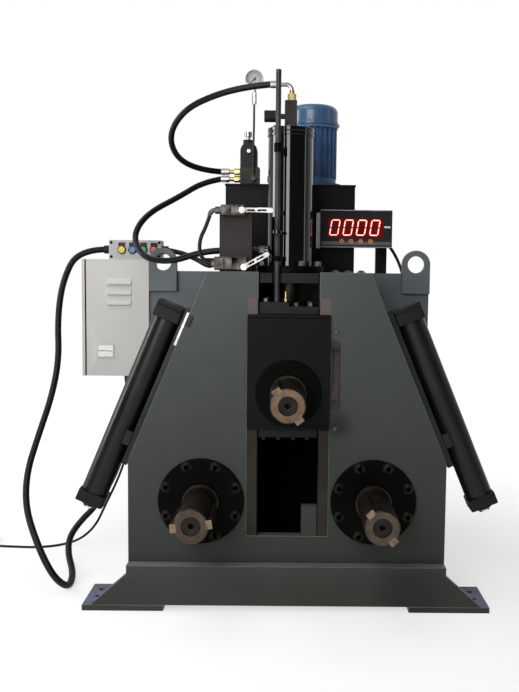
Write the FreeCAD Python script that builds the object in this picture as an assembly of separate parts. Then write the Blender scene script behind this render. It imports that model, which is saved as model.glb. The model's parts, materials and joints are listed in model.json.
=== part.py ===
import FreeCAD, Part
import math
import os
from FreeCAD import Vector

# Hydraulic three-roll section bender, all lengths in millimetres.
# X to the operator's right, Y away from the operator, Z up from the floor.
# The origin is on the floor, in the middle of the four holes of the front feet.

# frame plates
frame_half = 540
frame_top = 1146
slope_top_half = 273
slope_foot = 505
front_face = -72
front_thick = 40
rear_front = 400
rear_thick = 30
wall_thick = 12
deck_thick = 15
cheek_inner = 140
cheek_thick = 18
cheek_rear = 240

# base
ledge_height = 157
plinth_front = -115
panel_thick = 20
panel_side_foot = 128
flare_reach = 122
foot_thick = 20
foot_inner = 415
foot_outer = 690
foot_depth = 200
foot_hole_x = 653
foot_hole_pitch = 66
foot_hole_radius = 9
rear_foot_inner = 340
rear_foot_front = 330
rear_foot_rear = 560

# slide and its guides
slot_half = 102
window_half = 138
rail_bottom = 250
rail_top = 1059
slide_below_shaft = 127.5
slide_top = 1005
slide_rear = 172
face_plate_thick = 15
face_band_height = 21
face_band_depth = 6
top_block_low = 27
top_block_high = 41
bottom_plate_thick = 27
end_plate_half = 99
end_plate_front = -68
end_plate_rear = 150

# roll shafts
shaft_spacing_half = 292
lower_shaft_height = 371
top_shaft_height = 743.5
shaft_radius = 55
shaft_front = -380
collar_radius = 62
collar_length = 17
key_width = 28
key_height = 20
key_length = 190
key_stand = 10
end_recess_radius = 30
end_recess_depth = 5
centre_hole_radius = 9
centre_hole_depth = 30
shaft_chamfer = 4
gear_seat_radius = 50
rear_journal_radius = 45
housing_flange_radius = 145
housing_flange_thick = 15
housing_spigot_radius = 119
housing_length = 90
bearing_radius = 90
bearing_length = 62
housing_bolt_circle = 127
housing_bolt_count = 8
slide_cover_radius = 110
slide_cover_thick = 14
slide_bearing_radius = 84

# gear train
gear_module = 8
gear_teeth = 49
pinion_teeth = 24
pressure_angle = math.radians(20)
gear_front = 262
gear_width = 60
gear_web = 24
gear_rim = 18
gear_hub_radius = 78
tooth_backlash = 0.5
pinion_shaft_radius = 35

# main cylinder
cylinder_y = 70
barrel_radius = 77
barrel_wall = 12
barrel_top = 1607
cap_thick = 28
valve_block_height = 95
knob_drop = 52
elbow_rise = 35
gland_radius = 118
gland_thick = 24
gland_neck = 34
gland_bolt_circle = 103
gland_bolt_count = 8
cylinder_plate_bottom = 1109
cylinder_plate_top = 1143
cylinder_plate_half = 172
cylinder_plate_front = -60
guard_thick = 4
guard_top = 585
stop_block = (48, 101, 102)
piston_rod_radius = 35
piston_length = 60
piston_top_gap = 14

# trip rod and limit switches
trip_x = -42
trip_y = -55
trip_radius = 9
trip_top = 1807
dog_radius = 13.5
column_left = -237
column_right = -127
column_front = -22
column_rear = 48
column_top = 1338
switch_front = -58
lever_thick = 4
lever_roller_radius = 7
upper_pivot = (-160, 1349)
upper_roller = (-63.5, 1349)
lower_pivot = (-152, 1161)
lower_roller = (-75, 1204)
switch_gland_width = 20

# hydraulic unit
tank_half = 244
tank_front = 332
tank_rear = 640
tank_top = 1467
tank_wall = 4
lid_thick = 8
lid_overhang = 2
motor_x = 88
motor_y = 480
motor_core_radius = 76
motor_fin_radius = 91
motor_fin_count = 24
motor_fin_thick = 3
motor_flange_radius = 108
motor_flange_thick = 14
motor_body_height = 245
cowl_radius = 94
cowl_height = 76
cowl_wall = 3
cowl_fillet = 28
cowl_bead = 3
cowl_bead_height = 12
manifold_left = -190
manifold_right = -117
manifold_front = 340
manifold_rear = 412
manifold_height = 63
dome_rise = 60
dome_radius = 32
hose_port_heights = (48, 20.5)
gauge_x = -140
gauge_above_lid = 391
gauge_neck_length = 92
gauge_port_height = 20
gauge_radius = 34
gauge_depth = 30
gauge_front = 356

# display and its cable
display_left = 112
display_right = 380
display_bottom = 1240
display_top = 1379
display_front = 280
display_depth = 45
display_cheek = 13
post_left = 332
post_width = 42
arm_height = 38
display_gland = (300, 1318)
frame_gland = (455, 960)

# electrical cabinet and button station
cabinet_width = 258
cabinet_bottom = 737
cabinet_top = 1188
cabinet_front = 398
cabinet_rear = 592
sheet = 2
door_thick = 16
door_margin = 17
door_gap = 6
latch_offset = 45.5
latch_width = 57
latch_slot_height = 3
louvre_offset = 81
louvre_width = 92
louvre_height = 26
louvre_depth = 9
louvre_pitch = 38.8
louvre_top = 1117
louvre_count = 3
cable_gland_offset = 156
supply_gland_offset = 138
supply_gland_y = 555
station_offset = 98
station_width = 205
station_front = 414
station_rear = 470
station_top = 1263
button_radius = 14
button_rim = 2
button_gap = 0.4
button_stand = 10
button_offsets = {"yellow": 51, "blue": 92, "green": 134, "red": 175}
button_height = 1225
legend_width = 27
legend_height = 15
legend_thick = 1.5

# side actuators along the slopes
side_offset = 68
side_y = -20
side_barrel_radius = 46
side_bore_radius = 38
side_head_size = 96
side_upper_head = (148, 204)
side_lower_head = (848, 888)
side_head_groove = (160, 165)
side_groove_depth = 3
side_screw_place = 32
side_screw_radius = 8
side_counterbore = 10
side_rod_radius = 20
side_gland_radius = 29
side_gland_length = 12
side_rail_width = 64
side_rail_start = 140
side_rail_overrun = 22
end_bar_along = (151, 271)
end_bar_width = 9
end_bar_thick = 12

# hoses and cords: outer radius of each
hose_radius = 11
conduit_radius = 12.5
top_conduit_radius = 10
display_cable_radius = 6
switch_cable_radius = 6.5
mains_radius = 5
coil_inner_radius = 45
coil_turns_wide = 2
coil_turns_high = 3
coil_place = (-1278, 615)
plug_radius = 25

# clearances
seat = 0.3
running = 0.05

slope = math.atan2(frame_half - slope_top_half, frame_top - slope_foot)
side_rail_height = side_offset - side_head_size / 2
front_rear = front_face + front_thick
rear_back = rear_front + rear_thick
slide_bottom = top_shaft_height - slide_below_shaft
lid_top = tank_top + lid_thick
motor_body_top = tank_top + motor_body_height
cowl_top = motor_body_top + cowl_height
manifold_top = lid_top + manifold_height
hose_port_levels = [lid_top + height for height in hose_port_heights]
gauge_height = lid_top + gauge_above_lid
cabinet_right = -frame_half
cabinet_left = cabinet_right - cabinet_width
door_left = cabinet_left + door_margin
door_right = cabinet_right - 1
station_left = cabinet_left + station_offset
station_right = station_left + station_width
button_places = {colour: station_left + offset for colour, offset in button_offsets.items()}
valve_top = barrel_top + cap_thick + valve_block_height
knob_level = valve_top - knob_drop
up = Vector(0, 0, 1)
back = Vector(0, 1, 0)
right = Vector(1, 0, 0)


def box(x0, x1, y0, y1, z0, z1):
    return Part.makeBox(x1 - x0, y1 - y0, z1 - z0, Vector(x0, y0, z0))


def rod(radius, start, end):
    start, end = Vector(*start), Vector(*end)
    return Part.makeCylinder(radius, (end - start).Length, start, end - start)


def tube(outer, inner, start, end):
    return rod(outer, start, end).cut(rod(inner, start, end))


def prism(corners, direction):
    wire = Part.makePolygon([Vector(*corner) for corner in corners + corners[:1]])
    return Part.Face(wire).extrude(Vector(*direction))


def plate_xz(corners, y0, y1):
    return prism([(x, y0, z) for x, z in corners], (0, y1 - y0, 0))


def plate_xy(corners, z0, z1):
    return prism([(x, y, z0) for x, y in corners], (0, 0, z1 - z0))


def mirror(shape):
    return shape.mirror(Vector(0, 0, 0), right)


def fuse(first, *others):
    return first.multiFuse(list(others)).removeSplitter()


def hexagon(width, centre, axis, length):
    # hexagonal head or nut, width across flats, growing along the axis
    radius = width / math.sqrt(3)
    corners = []
    for step in range(6):
        angle = math.radians(60 * step)
        corners.append((radius * math.cos(angle), radius * math.sin(angle), 0))
    shape = prism(corners, (0, 0, length))
    shape.Placement = FreeCAD.Placement(Vector(*centre), FreeCAD.Rotation(up, Vector(*axis)))
    return shape


def around(shape, count, centre, axis, first=0.0):
    # copies of a shape, evenly spaced about an axis
    copies = []
    for step in range(count):
        copy = shape.copy()
        copy.rotate(Vector(*centre), Vector(*axis), first + 360.0 * step / count)
        copies.append(copy)
    return copies


def export(node, *shapes):
    solids = [solid for shape in shapes for solid in shape.Solids]
    shape = solids[0] if len(solids) == 1 else Part.makeCompound(solids)
    shape.exportStep("parts/" + node + ".step")


def on_slope(along, away, side=1):
    # a point of the slope's own frame: along it from its top, and away from its face
    x = slope_top_half + along * math.sin(slope) + away * math.cos(slope)
    z = frame_top - along * math.cos(slope) + away * math.sin(slope)
    return side * x, z


def slope_length():
    return math.hypot(frame_half - slope_top_half, frame_top - slope_foot)


def slope_block(along0, along1, away0, away1, y0, y1):
    corners = [on_slope(along0, away0), on_slope(along0, away1),
               on_slope(along1, away1), on_slope(along1, away0)]
    return plate_xz(corners, y0, y1)


# ---- frame ----

def base_plinth():
    # front panel with flared ends, its ledge and end returns, on the foot plates
    reach = frame_half + flare_reach
    outline = [(-frame_half, ledge_height), (frame_half, ledge_height), (frame_half, panel_side_foot),
               (reach, foot_thick), (-reach, foot_thick), (-frame_half, panel_side_foot)]
    panel_back = plinth_front + panel_thick
    panel = plate_xz(outline, plinth_front, panel_back)
    ledge = box(-frame_half, frame_half, panel_back, front_face, ledge_height - panel_thick, ledge_height)
    end = box(frame_half - panel_thick, frame_half, panel_back, front_face, foot_thick,
              ledge_height - panel_thick)
    return fuse(panel, ledge, end, mirror(end))


def foot_plates():
    front = box(foot_inner, foot_outer, plinth_front, plinth_front + foot_depth, 0, foot_thick)
    for y in (-foot_hole_pitch / 2, foot_hole_pitch / 2):
        front = front.cut(rod(foot_hole_radius, (foot_hole_x, y, -1), (foot_hole_x, y, foot_thick + 1)))
    rear = box(rear_foot_inner, frame_half, rear_foot_front, rear_foot_rear, 0, foot_thick)
    rear_hole_y = rear_foot_rear - 2 * foot_hole_radius - 22
    middle = (rear_foot_inner + frame_half) / 2
    for x in (middle - foot_hole_pitch / 2, middle + foot_hole_pitch / 2):
        rear = rear.cut(rod(foot_hole_radius, (x, rear_hole_y, -1), (x, rear_hole_y, foot_thick + 1)))
    return [front, mirror(front), rear, mirror(rear)]


def front_plate():
    outline = [(-frame_half, foot_thick), (frame_half, foot_thick), (frame_half, slope_foot),
               (slope_top_half, frame_top), (-slope_top_half, frame_top), (-frame_half, slope_foot)]
    plate = plate_xz(outline, front_face, front_rear)
    plate = plate.cut(box(-window_half, window_half, front_face - 1, front_rear + 1, rail_bottom, rail_top))
    plate = plate.cut(box(-slot_half, slot_half, front_face - 1, front_rear + 1, rail_top - 1, frame_top + 1))
    for side in (-1, 1):
        x = side * shaft_spacing_half
        hole = rod(housing_spigot_radius + seat, (x, front_face - 1, lower_shaft_height),
                   (x, front_rear + 1, lower_shaft_height))
        plate = plate.cut(hole)
    return plate


def rear_plate():
    plate = box(-frame_half, frame_half, rear_front, rear_back, foot_thick, frame_top)
    for x in (-shaft_spacing_half, shaft_spacing_half):
        plate = plate.cut(rod(rear_journal_radius + running, (x, rear_front - 1, lower_shaft_height),
                              (x, rear_back + 1, lower_shaft_height)))
    clear = pinion_shaft_radius + 15
    return plate.cut(rod(clear, (0, rear_front - 1, lower_shaft_height),
                         (0, rear_back + 1, lower_shaft_height)))


def frame_walls():
    # slanted covers, upright walls, deck, guide cheeks, tank brackets, gear guard, lower stop
    upright = box(frame_half - wall_thick, frame_half, front_rear, rear_front, foot_thick, slope_foot)
    cheek = box(cheek_inner, cheek_inner + cheek_thick, front_rear, cheek_rear,
                ledge_height, cylinder_plate_bottom)
    bracket = prism([(180, rear_back, frame_top), (180, tank_rear - 20, frame_top),
                     (180, rear_back, frame_top - 200)], (wall_thick, 0, 0))
    deck = box(-slope_top_half, slope_top_half, front_rear, rear_front, frame_top - deck_thick, frame_top)
    half = cylinder_plate_half + seat
    deck = deck.cut(box(-half, half, front_rear - 1, cheek_rear + seat,
                        frame_top - deck_thick - 1, frame_top + 1))
    slanted = slope_block(0, slope_length(), -wall_thick, 0, front_rear, rear_front).cut(deck).cut(upright)
    guard_half = cheek_inner + cheek_thick
    guard = box(-guard_half, guard_half, cheek_rear, cheek_rear + guard_thick, ledge_height, guard_top)
    stop_left, stop_right, stop_height = stop_block
    stop = box(stop_left, stop_right, front_face + 4, front_rear, rail_bottom, rail_bottom + stop_height)
    pairs = [slanted, upright, cheek, bracket]
    return [deck, guard, stop] + pairs + [mirror(shape) for shape in pairs]


def lifting_lugs():
    width, thick, foot, radius, hole_radius = 108, 25, 1068, 54, 32.5
    centre_x, centre_z = frame_half - width / 2, 1180
    y = rear_front - thick
    straight = box(frame_half - width, frame_half, y, rear_front, foot, centre_z)
    arch = rod(radius, (centre_x, y, centre_z), (centre_x, rear_front, centre_z))
    hole = rod(hole_radius, (centre_x, y - 1, centre_z), (centre_x, rear_front + 1, centre_z))
    lug = fuse(straight, arch).cut(hole)
    return [lug, mirror(lug)]


def guide_rails():
    # two rails in the window, and the gib strip with its screws beside the slide
    rail = box(slot_half + 1, window_half, front_face + seat, front_rear, rail_bottom, rail_top)
    inner = [edge for edge in rail.Edges if edge.Length > rail_top - rail_bottom - 1
             and edge.BoundBox.YMax < front_rear - 1 and edge.BoundBox.XMin < slot_half + 2]
    rail = rail.makeChamfer(2, inner)
    gib = box(window_half + 8, window_half + 32, front_face - 8, front_face, 690, 912)
    screw = rod(6, (window_half + 20, front_face - 12, 0), (window_half + 20, front_face - 8, 0))
    screws = [screw.translated(Vector(0, 0, z)) for z in (712, 801, 890)]
    nipple = rod(7, (window_half + 20, front_face - 10, 950), (window_half + 20, front_face, 950))
    lower_screw = rod(8, (window_half + 20, front_face - 9, 624), (window_half + 20, front_face, 624))
    return [rail, mirror(rail), fuse(gib, *screws), nipple, lower_screw]


def cylinder_plate():
    corners = [(-end_plate_half, cylinder_plate_front), (end_plate_half, cylinder_plate_front),
               (end_plate_half, front_rear), (cylinder_plate_half, front_rear),
               (cylinder_plate_half, cheek_rear), (-cylinder_plate_half, cheek_rear),
               (-cylinder_plate_half, front_rear), (-end_plate_half, front_rear)]
    plate = plate_xy(corners, cylinder_plate_bottom, cylinder_plate_top)
    notch = dog_radius + 2
    plate = plate.cut(box(trip_x - notch, trip_x + notch, cylinder_plate_front - 1, trip_y + notch,
                          cylinder_plate_bottom - 1, cylinder_plate_top + 1))
    return plate.cut(rod(piston_rod_radius + 5, (0, cylinder_y, cylinder_plate_bottom - 1),
                         (0, cylinder_y, cylinder_plate_top + 1)))


# ---- main cylinder ----

def cylinder_barrel():
    # tube with a lower port boss on the left and the ring that steadies the trip rod
    foot = cylinder_plate_top + gland_thick
    barrel = rod(barrel_radius, (0, cylinder_y, foot), (0, cylinder_y, barrel_top))
    boss = rod(17, (-barrel_radius - 9, cylinder_y, 1220), (0, cylinder_y, 1220))
    ring_z = 1278
    arm = box(trip_x - 6, trip_x + 6, trip_y + 5, cylinder_y, ring_z - 5, ring_z + 5)
    ring = rod(17, (trip_x, trip_y, ring_z - 5), (trip_x, trip_y, ring_z + 5))
    shape = fuse(barrel, boss, arm, ring)
    shape = shape.cut(rod(barrel_radius - barrel_wall, (0, cylinder_y, foot - 1),
                          (0, cylinder_y, barrel_top + 1)))
    return shape.cut(rod(trip_radius + 1, (trip_x, trip_y, ring_z - 10), (trip_x, trip_y, ring_z + 10)))


def cylinder_heads():
    # bottom flange with its rod bore and neck, and the top cap
    foot = cylinder_plate_top
    bore = barrel_radius - barrel_wall
    flange = rod(gland_radius, (0, cylinder_y, foot), (0, cylinder_y, foot + gland_thick))
    neck = rod(bore - seat, (0, cylinder_y, foot + gland_thick),
               (0, cylinder_y, foot + gland_thick + gland_neck))
    gland = fuse(flange, neck)
    gland = gland.cut(rod(piston_rod_radius + running, (0, cylinder_y, foot - 1),
                          (0, cylinder_y, foot + 100)))
    cap = rod(barrel_radius + 3, (0, cylinder_y, barrel_top), (0, cylinder_y, barrel_top + cap_thick))
    groove = tube(barrel_radius + 10, barrel_radius - 1, (0, cylinder_y, barrel_top + 10),
                  (0, cylinder_y, barrel_top + 15))
    return [gland, cap.cut(groove)]


def flow_valve():
    # throttle block on the cap, with the neck of its knob
    top = barrel_top + cap_thick
    block = box(-22, 20, cylinder_y - 22, cylinder_y + 22, top, valve_top)
    block = block.makeChamfer(2, block.Edges)
    neck = rod(9, (-40, cylinder_y, knob_level), (-20, cylinder_y, knob_level))
    return block.fuse(neck)


def throttle_knob():
    knob = rod(20, (-92, cylinder_y, knob_level), (-50, cylinder_y, knob_level))
    flute = rod(2.2, (-93, cylinder_y, knob_level + 21), (-60, cylinder_y, knob_level + 21))
    flutes = around(flute, 12, (0, cylinder_y, knob_level), (1, 0, 0))
    collar = rod(12, (-50, cylinder_y, knob_level), (-40 - seat, cylinder_y, knob_level))
    return fuse(knob.cut(Part.makeCompound(flutes)), collar)


def hose_fittings():
    # swept elbow and ferrule on the throttle block, straight fittings elsewhere
    top = valve_top
    x = 2
    nut = hexagon(26, (x, cylinder_y, top), (0, 0, 1), 24)
    foot = top + elbow_rise
    stem = rod(9, (x, cylinder_y, top + 24), (x, cylinder_y, foot))
    bend_radius = 20
    bend = Part.Arc(Vector(x, cylinder_y, foot),
                    Vector(x - bend_radius * (1 - math.sqrt(0.5)), cylinder_y,
                           foot + bend_radius * math.sqrt(0.5)),
                    Vector(x - bend_radius, cylinder_y, foot + bend_radius)).toShape()
    profile = Part.Wire(Part.makeCircle(7, Vector(x, cylinder_y, foot), up))
    elbow = Part.Wire([bend]).makePipeShell([profile], True, False)
    level = foot + bend_radius
    run = rod(7, (x - bend_radius, cylinder_y, level), (-42, cylinder_y, level))
    ferrule = rod(hose_radius + 1.5, (-42, cylinder_y, level), (-72, cylinder_y, level))
    shapes = [nut.fuse(stem), fuse(elbow, run, ferrule)]
    for z in hose_port_levels:
        x = manifold_left
        washer = rod(13, (x - 4, 376, z), (x, 376, z))
        nut = hexagon(22, (x - 4, 376, z), (-1, 0, 0), 20)
        neck = rod(8, (x - 42, 376, z), (x - 24, 376, z))
        ferrule = rod(hose_radius + 1.5, (x - 73, 376, z), (x - 42, 376, z))
        shapes += [washer, fuse(nut, neck, ferrule)]
    x = -barrel_radius - 9
    nut = hexagon(30, (x, cylinder_y, 1220), (-1, 0, 0), 20)
    ferrule = rod(hose_radius + 1.5, (x - 54, cylinder_y, 1220), (x - 20, cylinder_y, 1220))
    shapes.append(nut.fuse(ferrule))
    return shapes


def frame_bolts():
    # socket screws of the bearing flanges and hexagon screws of the cylinder flange
    face = front_face - housing_flange_thick
    screws = []
    for side in (-1, 1):
        x = side * shaft_spacing_half
        screw = rod(9, (x, face - 8, lower_shaft_height + housing_bolt_circle),
                    (x, face, lower_shaft_height + housing_bolt_circle))
        socket = hexagon(8, (x, face - 9, lower_shaft_height + housing_bolt_circle), (0, 1, 0), 6)
        screws += around(screw.cut(socket), housing_bolt_count, (x, 0, lower_shaft_height), (0, 1, 0), 22.5)
    top = cylinder_plate_top + gland_thick
    head = hexagon(24, (gland_bolt_circle, cylinder_y, top + 3), (0, 0, 1), 14)
    washer = rod(14.5, (gland_bolt_circle, cylinder_y, top), (gland_bolt_circle, cylinder_y, top + 3))
    screws += around(head.fuse(washer), gland_bolt_count, (0, cylinder_y, 0), (0, 0, 1), 22.5)
    cap_top = barrel_top + cap_thick
    screw = rod(6, (60, cylinder_y, cap_top), (60, cylinder_y, cap_top + 8))
    screws += around(screw, 6, (0, cylinder_y, 0), (0, 0, 1), 30)
    return screws


# ---- shafts and gears ----

def shaft_front_end(x, z, key_angle):
    # overhung roll seat: chamfered end, recessed face, centre hole, two keys and a collar
    face = front_face - housing_flange_thick
    body = rod(shaft_radius, (x, shaft_front, z), (x, face, z))
    rim = [edge for edge in body.Edges if edge.BoundBox.YMax < shaft_front + 1]
    body = body.makeChamfer(shaft_chamfer, rim)
    body = body.cut(rod(end_recess_radius, (x, shaft_front - 1, z), (x, shaft_front + end_recess_depth, z)))
    body = body.cut(rod(centre_hole_radius, (x, shaft_front - 1, z), (x, shaft_front + centre_hole_depth, z)))
    key_top = shaft_radius + key_stand
    keys = []
    for angle in (key_angle, key_angle + 180):
        key = box(x + key_top - key_height, x + key_top, shaft_front, shaft_front + key_length,
                  z - key_width / 2, z + key_width / 2)
        key.rotate(Vector(x, 0, z), back, -angle)
        keys.append(key)
    return body, keys


def lower_shaft(side, key_angle):
    x, z = side * shaft_spacing_half, lower_shaft_height
    face = front_face - housing_flange_thick
    front, keys = shaft_front_end(x, z, key_angle)
    collar = rod(collar_radius, (x, face - collar_length, z), (x, front_face, z))
    journal = rod(shaft_radius, (x, face, z), (x, gear_front - 20, z))
    seat_end = gear_front + gear_width + 10
    gear_seat = rod(gear_seat_radius, (x, gear_front - 20, z), (x, seat_end, z))
    rear = rod(rear_journal_radius, (x, seat_end, z), (x, rear_back + 12, z))
    shaft = fuse(front, collar, journal, gear_seat, rear)
    for key in keys:
        shaft = shaft.cut(key)
    return [shaft] + keys


def top_shaft():
    z = top_shaft_height
    face = front_face - face_plate_thick - slide_cover_thick
    front, keys = shaft_front_end(0, z, 128)
    collar = rod(collar_radius, (0, face - collar_length, z), (0, front_face, z))
    journal = rod(shaft_radius, (0, front_face, z), (0, slide_rear, z))
    nut = rod(collar_radius + 6, (0, slide_rear + 1, z), (0, slide_rear + 19, z))
    stub = rod(shaft_radius - 5, (0, slide_rear, z), (0, slide_rear + 24, z))
    shaft = fuse(front, collar, journal, nut, stub)
    for key in keys:
        shaft = shaft.cut(key)
    return [shaft] + keys


def bearing_housings():
    # flanged housings in the front plate, each with its bearing ring round the shaft
    face = front_face - housing_flange_thick
    shapes = []
    z = lower_shaft_height
    for side in (-1, 1):
        x = side * shaft_spacing_half
        flange = rod(housing_flange_radius, (x, face, z), (x, front_face, z))
        flange = flange.makeChamfer(3, [edge for edge in flange.Edges if edge.BoundBox.YMax < face + 1])
        spigot = rod(housing_spigot_radius, (x, front_face, z), (x, front_face + housing_length, z))
        housing = fuse(flange, spigot)
        housing = housing.cut(rod(collar_radius + 1, (x, face - 1, z), (x, front_face + 2, z)))
        bore_end = front_face + housing_length + 1
        housing = housing.cut(rod(bearing_radius, (x, front_face + 2, z), (x, bore_end, z)))
        bearing = tube(bearing_radius - running, shaft_radius + running, (x, front_face + 10, z),
                       (x, front_face + 10 + bearing_length, z))
        shapes += [housing, bearing]
    return shapes


def involute_points(base, radius_list):
    points = []
    for radius in radius_list:
        roll = math.sqrt(max((radius / base) ** 2 - 1, 0))
        points.append((radius, roll - math.atan(roll)))
    return points


def gear_outline(teeth, x, z, first_tooth):
    # closed outline of a spur gear with involute flanks, a tooth centred on first_tooth
    pitch = gear_module * teeth / 2
    base = pitch * math.cos(pressure_angle)
    root, tip = pitch - 1.25 * gear_module, pitch + gear_module
    pitch_spread = math.tan(pressure_angle) - pressure_angle
    half_tooth = math.pi / (2 * teeth) - tooth_backlash / (4 * pitch)
    flank_start = max(root + 0.5, base + 0.05)
    radii = [flank_start, (flank_start + pitch) / 2, pitch, (pitch + tip) / 2, tip]
    flank = [(root, half_tooth + pitch_spread)]
    flank += [(radius, half_tooth + pitch_spread - spread) for radius, spread in involute_points(base, radii)]
    corners = []
    for tooth in range(teeth):
        middle = first_tooth + 2 * math.pi * tooth / teeth
        sides = [(radius, middle - half) for radius, half in flank]
        sides += [(radius, middle + half) for radius, half in reversed(flank)]
        corners += [(x + radius * math.cos(angle), z + radius * math.sin(angle)) for radius, angle in sides]
    return corners


def lower_gear(side):
    x, z = side * shaft_spacing_half, lower_shaft_height
    first_tooth = 0 if side < 0 else math.pi
    rear = gear_front + gear_width
    gear = plate_xz(gear_outline(gear_teeth, x, z, first_tooth), gear_front, rear)
    inner_rim = gear_module * gear_teeth / 2 - 1.25 * gear_module - gear_rim
    recess = (gear_width - gear_web) / 2
    for y0, y1 in ((gear_front - 1, gear_front + recess), (rear - recess, rear + 1)):
        gear = gear.cut(tube(inner_rim, gear_hub_radius, (x, y0, z), (x, y1, z)))
    hole_circle = (inner_rim + gear_hub_radius) / 2
    hole = rod(28, (x + hole_circle, gear_front, z), (x + hole_circle, rear, z))
    for cutter in around(hole, 6, (x, 0, z), (0, 1, 0), 30):
        gear = gear.cut(cutter)
    return gear.cut(rod(gear_seat_radius + running, (x, gear_front - 1, z), (x, rear + 1, z)))


def drive_pinion():
    z = lower_shaft_height
    gap_at_side = math.pi / pinion_teeth
    pinion = plate_xz(gear_outline(pinion_teeth, 0, z, gap_at_side), gear_front - 3,
                      gear_front + gear_width + 3)
    shaft = rod(pinion_shaft_radius, (0, gear_front - 12, z), (0, rear_back + 100, z))
    return fuse(pinion, shaft)


def gear_reducer():
    # ribbed reducer case on the rear plate with the drive motor behind it
    z = lower_shaft_height
    y0, y1 = rear_back, rear_back + 180
    case = box(-140, 140, y0, y1, z - 130, z + 135)
    case = case.makeFillet(18, [edge for edge in case.Edges if abs(edge.BoundBox.YLength - 180) < 1])
    foot = box(-170, 170, y0, y0 + 22, z - 150, z + 155)
    case = fuse(case, foot)
    case = case.cut(rod(pinion_shaft_radius + running, (0, y0 - 1, z), (0, y0 + 100 + seat, z)))
    ribs = [box(x - 4, x + 4, y0 + 22, y1 - 10, z + 130, z + 147) for x in (-80, -40, 0, 40, 80)]
    flange = rod(110, (0, y1, z), (0, y1 + 16, z))
    body = rod(84, (0, y1 + 16, z), (0, y1 + 230, z))
    fin = box(-1.75, 1.75, y1 + 24, y1 + 222, z + 80, z + 96)
    motor = fuse(flange, body, *around(fin, 20, (0, 0, z), (0, 1, 0)))
    cowl = rod(99, (0, y1 + 230, z), (0, y1 + 300, z))
    cowl = cowl.makeFillet(12, [edge for edge in cowl.Edges if edge.BoundBox.YMin > y1 + 299])
    terminal = box(70, 130, y1 + 70, y1 + 170, z - 45, z + 45)
    return [fuse(case, *ribs), fuse(motor, terminal), cowl]


# ---- slide ----

def slide_block():
    z = top_shaft_height
    neck_half = slot_half + 1 - seat
    neck = box(-neck_half, neck_half, front_face, front_rear + seat, slide_bottom, slide_top)
    body_half = cheek_inner - seat
    body = box(-body_half, body_half, front_rear + seat, slide_rear, slide_bottom, slide_top)
    block = fuse(neck, body)
    block = block.cut(rod(collar_radius + 1, (0, front_face - 1, z), (0, front_face + 11, z)))
    return block.cut(rod(slide_bearing_radius, (0, front_face + 10, z), (0, slide_rear + 1, z)))


def slide_face_plate():
    y = front_face - face_plate_thick
    plate = box(-window_half, window_half, y, front_face, slide_bottom, slide_top)
    band_top = slide_bottom + face_band_height
    plate = plate.cut(box(-window_half - 1, window_half + 1, y - 1, y + face_band_depth,
                          slide_bottom - 1, band_top))
    groove = box(-window_half - 1, window_half + 1, y - 1, y + 2, slide_top - 12, slide_top - 10)
    plate = plate.cut(groove)
    return plate.cut(rod(collar_radius + 1, (0, y - 1, top_shaft_height),
                         (0, front_face + 1, top_shaft_height)))


def slide_bearing_cover():
    # ring on the face plate, and the two bearing rings of the top shaft
    z = top_shaft_height
    face = front_face - face_plate_thick - slide_cover_thick
    cover = rod(slide_cover_radius, (0, face, z), (0, face + slide_cover_thick, z))
    cover = cover.makeChamfer(3, [edge for edge in cover.Edges if edge.BoundBox.YMax < face + 1])
    cover = cover.cut(rod(collar_radius + 1, (0, face - 1, z), (0, face + slide_cover_thick + 1, z)))
    rings = []
    for y0, y1 in ((front_face + 14, front_face + 74), (slide_rear - 64, slide_rear - 4)):
        rings.append(tube(slide_bearing_radius - running, shaft_radius + running, (0, y0, z), (0, y1, z)))
    return [cover] + rings


def slide_end_plates():
    half = end_plate_half
    top = box(-half, half, end_plate_front, end_plate_rear, slide_top, slide_top + top_block_low)
    step = box(-half, 0, end_plate_front, end_plate_rear, slide_top, slide_top + top_block_high)
    top = fuse(top, step).cut(rod(piston_rod_radius + seat, (0, cylinder_y, slide_top - 1),
                                  (0, cylinder_y, slide_top + 60)))
    bottom = box(-half, half, end_plate_front, end_plate_rear,
                 slide_bottom - bottom_plate_thick, slide_bottom)
    return [top, bottom]


def slide_bolts():
    # screws in the top plate, grease nipple, and screw heads under the bottom plate
    front_row = end_plate_front + 16
    low, high = slide_top + top_block_low, slide_top + top_block_high
    shapes = [hexagon(18, (x, front_row, z), (0, 0, 1), 12) for x, z in ((-78, high), (24, low), (71, low))]
    shapes += [hexagon(18, (x, end_plate_rear - 20, z), (0, 0, 1), 12) for x, z in ((-78, high), (71, low))]
    shapes.append(fuse(hexagon(12, (-12, front_row, high), (0, 0, 1), 12),
                       rod(4, (-12, front_row, high + 12), (-12, front_row, high + 36))))
    under = slide_bottom - bottom_plate_thick
    for x in (-83, -32, 18, 65):
        shapes += [hexagon(16, (x, y, under), (0, 0, -1), 10) for y in (front_row, end_plate_rear - 20)]
    return shapes


def piston_rod():
    piston_top = barrel_top - piston_top_gap
    shaft = rod(piston_rod_radius, (0, cylinder_y, slide_top), (0, cylinder_y, piston_top))
    piston = rod(barrel_radius - barrel_wall - running, (0, cylinder_y, piston_top - piston_length),
                 (0, cylinder_y, piston_top))
    return fuse(shaft, piston)


def trip_rod():
    foot = slide_top + top_block_high
    shaft = rod(trip_radius, (trip_x, trip_y, foot), (trip_x, trip_y, trip_top))
    shapes = [shaft]
    for z0, z1 in ((1541, 1570), (1182, 1199)):
        shapes.append(tube(dog_radius, trip_radius, (trip_x, trip_y, z0), (trip_x, trip_y, z1)))
    return shapes


# ---- limit switches ----

def switch_column():
    return box(column_left, column_right, column_front, column_rear, frame_top, column_top)


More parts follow.
